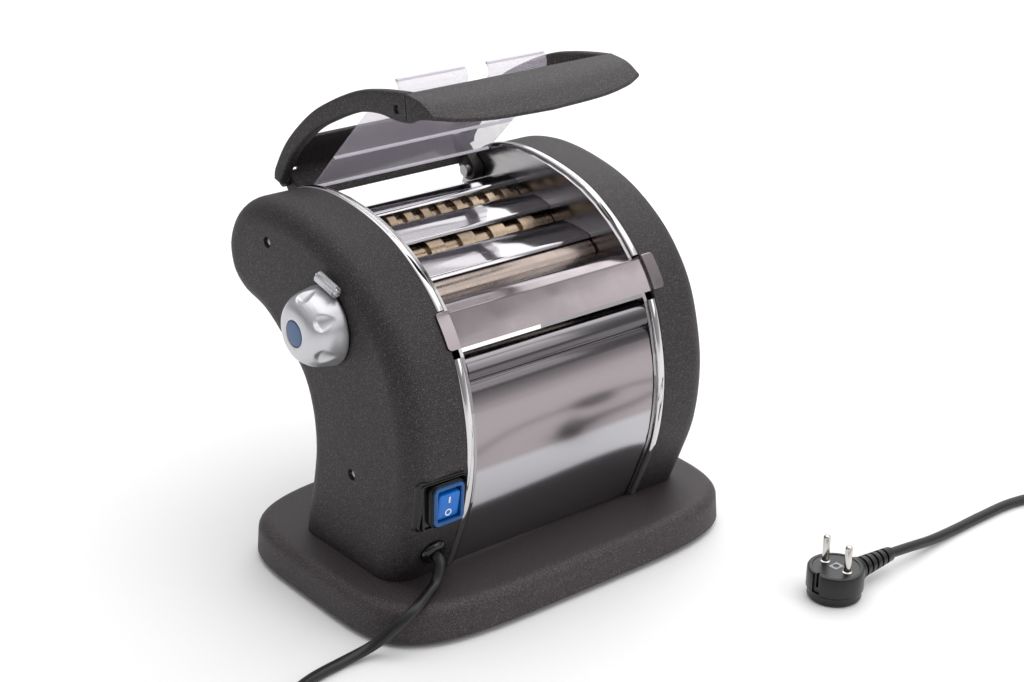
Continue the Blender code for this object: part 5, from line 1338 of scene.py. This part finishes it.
def add_visor():
    half = smooth_line([Vector(row) for row in VISOR_BLEND], 8)
    rows = [Vector((-x, a, b)) for x, a, b in half[:0:-1]] + half
    rings = []
    for x, forward, deep in rows:
        section = []
        for k, (middle, end) in enumerate(zip(VISOR_MIDDLE, VISOR_END)):
            blend = min(max(deep if k in (0, 4, 5) else forward, 0.0), 1.0)
            section.append(on_lid(Vector(middle).lerp(Vector(end), blend)))
        loop = [*smooth_line(section[:3], 5), *smooth_line(section[3:], 5)]
        rings.append([seat(x * VISOR_HALF_X, y, z) for y, z in loop])
    visor = soft_edged(loft("lid_visor_blade", rings), 0.7, 40.0)
    place_piece(applied(visor), LID_COAT_PAINTED_SHADE, "lid", "anthracite", "lid_visor")


add_visor()

# Rear panel: the coated back of the lid frame between the arms, notched round
# the hinge lugs.
PANEL_SHARES = ((-0.042, 0.037), (-0.103, 0.157), (-0.079, 0.286), (0.000, 0.442))
PANEL_HALF_X = 74.7
PANEL_THICKNESS = 2.5


def add_rear_panel():
    line = smooth_line([on_lid(share) for share in PANEL_SHARES], 6)
    panel = bent_strip("lid_rear_sheet", line, PANEL_HALF_X, PANEL_THICKNESS, 0.6)
    top = on_lid(ARM_SHARES[0]).y + LUG_ROOT_RADIUS + 2.0
    for side in (-1, 1):
        xs = sorted((side * 66.2, side * 78.0))
        carved(panel, block_at("lug_notch", (xs[0], HINGE_Y, HINGE_Z),
                               (xs[1], HINGE_Y + 24.0, top), 0.0))
    place_piece(panel, LID_COAT_PAINTED_SHADE, "lid", "anthracite", "lid_rear_panel")


add_rear_panel()

# Window: a clear plastic sheet folded across its middle that keeps fingers off
# the rollers. Its top edge is curled into two half tubes as finger grips.
WINDOW_SHARES = ((0.521, 0.848), (0.239, 0.424), (0.076, 0.170))
WINDOW_HALF_X = 74.7
WINDOW_THICKNESS = 2.0
CURL_RADIUS = 7.0
CURL_SHARES = ((-0.80, -0.08), (0.16, 0.80))
CURL_ENDS = (math.radians(-75.0), math.radians(-235.0))
CURL_TURNS = 24
WINDOW_HAZE = 0.30
WINDOW_EDGE = 0.9


def clear_plastic():
    made, shader = new_finish("clear_plastic", (0.70, 0.65, 0.74), 0.10)
    shader.inputs["Alpha"].default_value = WINDOW_HAZE
    add_ramp(made, add_noise(made, 12.0, 1.0), ((0.3, 0.07), (0.7, 0.13)), shader.inputs["Roughness"])
    return made


def add_window():
    clear = clear_plastic()
    line = rounded_bends([on_lid(share) for share in WINDOW_SHARES], 6.0)
    sheet = bent_strip("lid_window_sheet", line, WINDOW_HALF_X, WINDOW_THICKNESS, 0.5)
    middle = on_lid(WINDOW_SHARES[0]) + Vector((0.0, CURL_RADIUS))
    curls = []
    for left, right in CURL_SHARES:
        turns = [CURL_ENDS[0] + (CURL_ENDS[1] - CURL_ENDS[0]) * k / CURL_TURNS
                 for k in range(CURL_TURNS + 1)]
        loop = [round_point(middle, CURL_RADIUS + WINDOW_THICKNESS / 2, a) for a in turns]
        loop += [round_point(middle, CURL_RADIUS - WINDOW_THICKNESS / 2, a) for a in turns[::-1]]
        curls.append(applied(loft("curl", [[seat(x * WINDOW_HALF_X, y, z) for y, z in loop]
                                           for x in (left, right)])))
    carved(sheet, *curls, operation="UNION")
    place_piece(sheet, clear, "lid", "clear", "lid_window")
    # The strips and rods below are painted highlights: a light, nearly opaque plastic along the lower
    # edge, the fold and the curl tips stands in for the light that those edges catch.
    bright, shader = new_finish("window_edge_painted_highlight", (0.80, 0.77, 0.84), 0.12)
    shader.inputs["Alpha"].default_value = 0.8
    add_bump(bright, shader, add_noise(bright, 300.0), 0.05, 0.0001)
    ends = {"lower": (line[-1], line[-2]), "fold": (line[len(line) // 2], line[len(line) // 2 - 1])}
    for name, (place, before) in ends.items():
        way = (before - place).normalized()
        edge = bent_strip(f"window_{name}_edge", [place + way * (WINDOW_EDGE + 0.2), place + way * 0.2],
                          WINDOW_HALF_X - 0.2, WINDOW_THICKNESS + 0.3, 0.2)
        place_piece(edge, bright, "lid", "clear")
    for number, (left, right) in enumerate(CURL_SHARES):
        tip = round_point(middle, CURL_RADIUS, CURL_ENDS[1])
        rod = revolved(f"window_curl_edge_{number + 1}", (
            (0.0, left * WINDOW_HALF_X), (1.1, left * WINDOW_HALF_X), (1.1, right * WINDOW_HALF_X),
            (0.0, right * WINDOW_HALF_X)), 16, along_x(0.0, tip.x, tip.y))
        place_piece(applied(rod), bright, "lid", "clear")


add_window()

# Cap screws: small dull steel pan heads, sunk in the wells of both end caps,
# that hold each cap to its side plate.
SCREW_PROFILE = ((0.0, -2.6), (2.3, -2.6), (2.5, -2.2), (2.1, -1.6), (1.0, -1.3), (0.0, -1.25))


def add_screws():
    for side, hand in ((-1, "left"), (1, "right")):
        for number, (y, z) in enumerate(SCREW_PLACES):
            screw = revolved(f"cap_screw_{hand}_{number + 1}", SCREW_PROFILE, 24,
                             along_x(CAP_FACE_X, y, z, side))
            place_piece(applied(screw), DULL_STEEL, "housing", "steel")


add_screws()
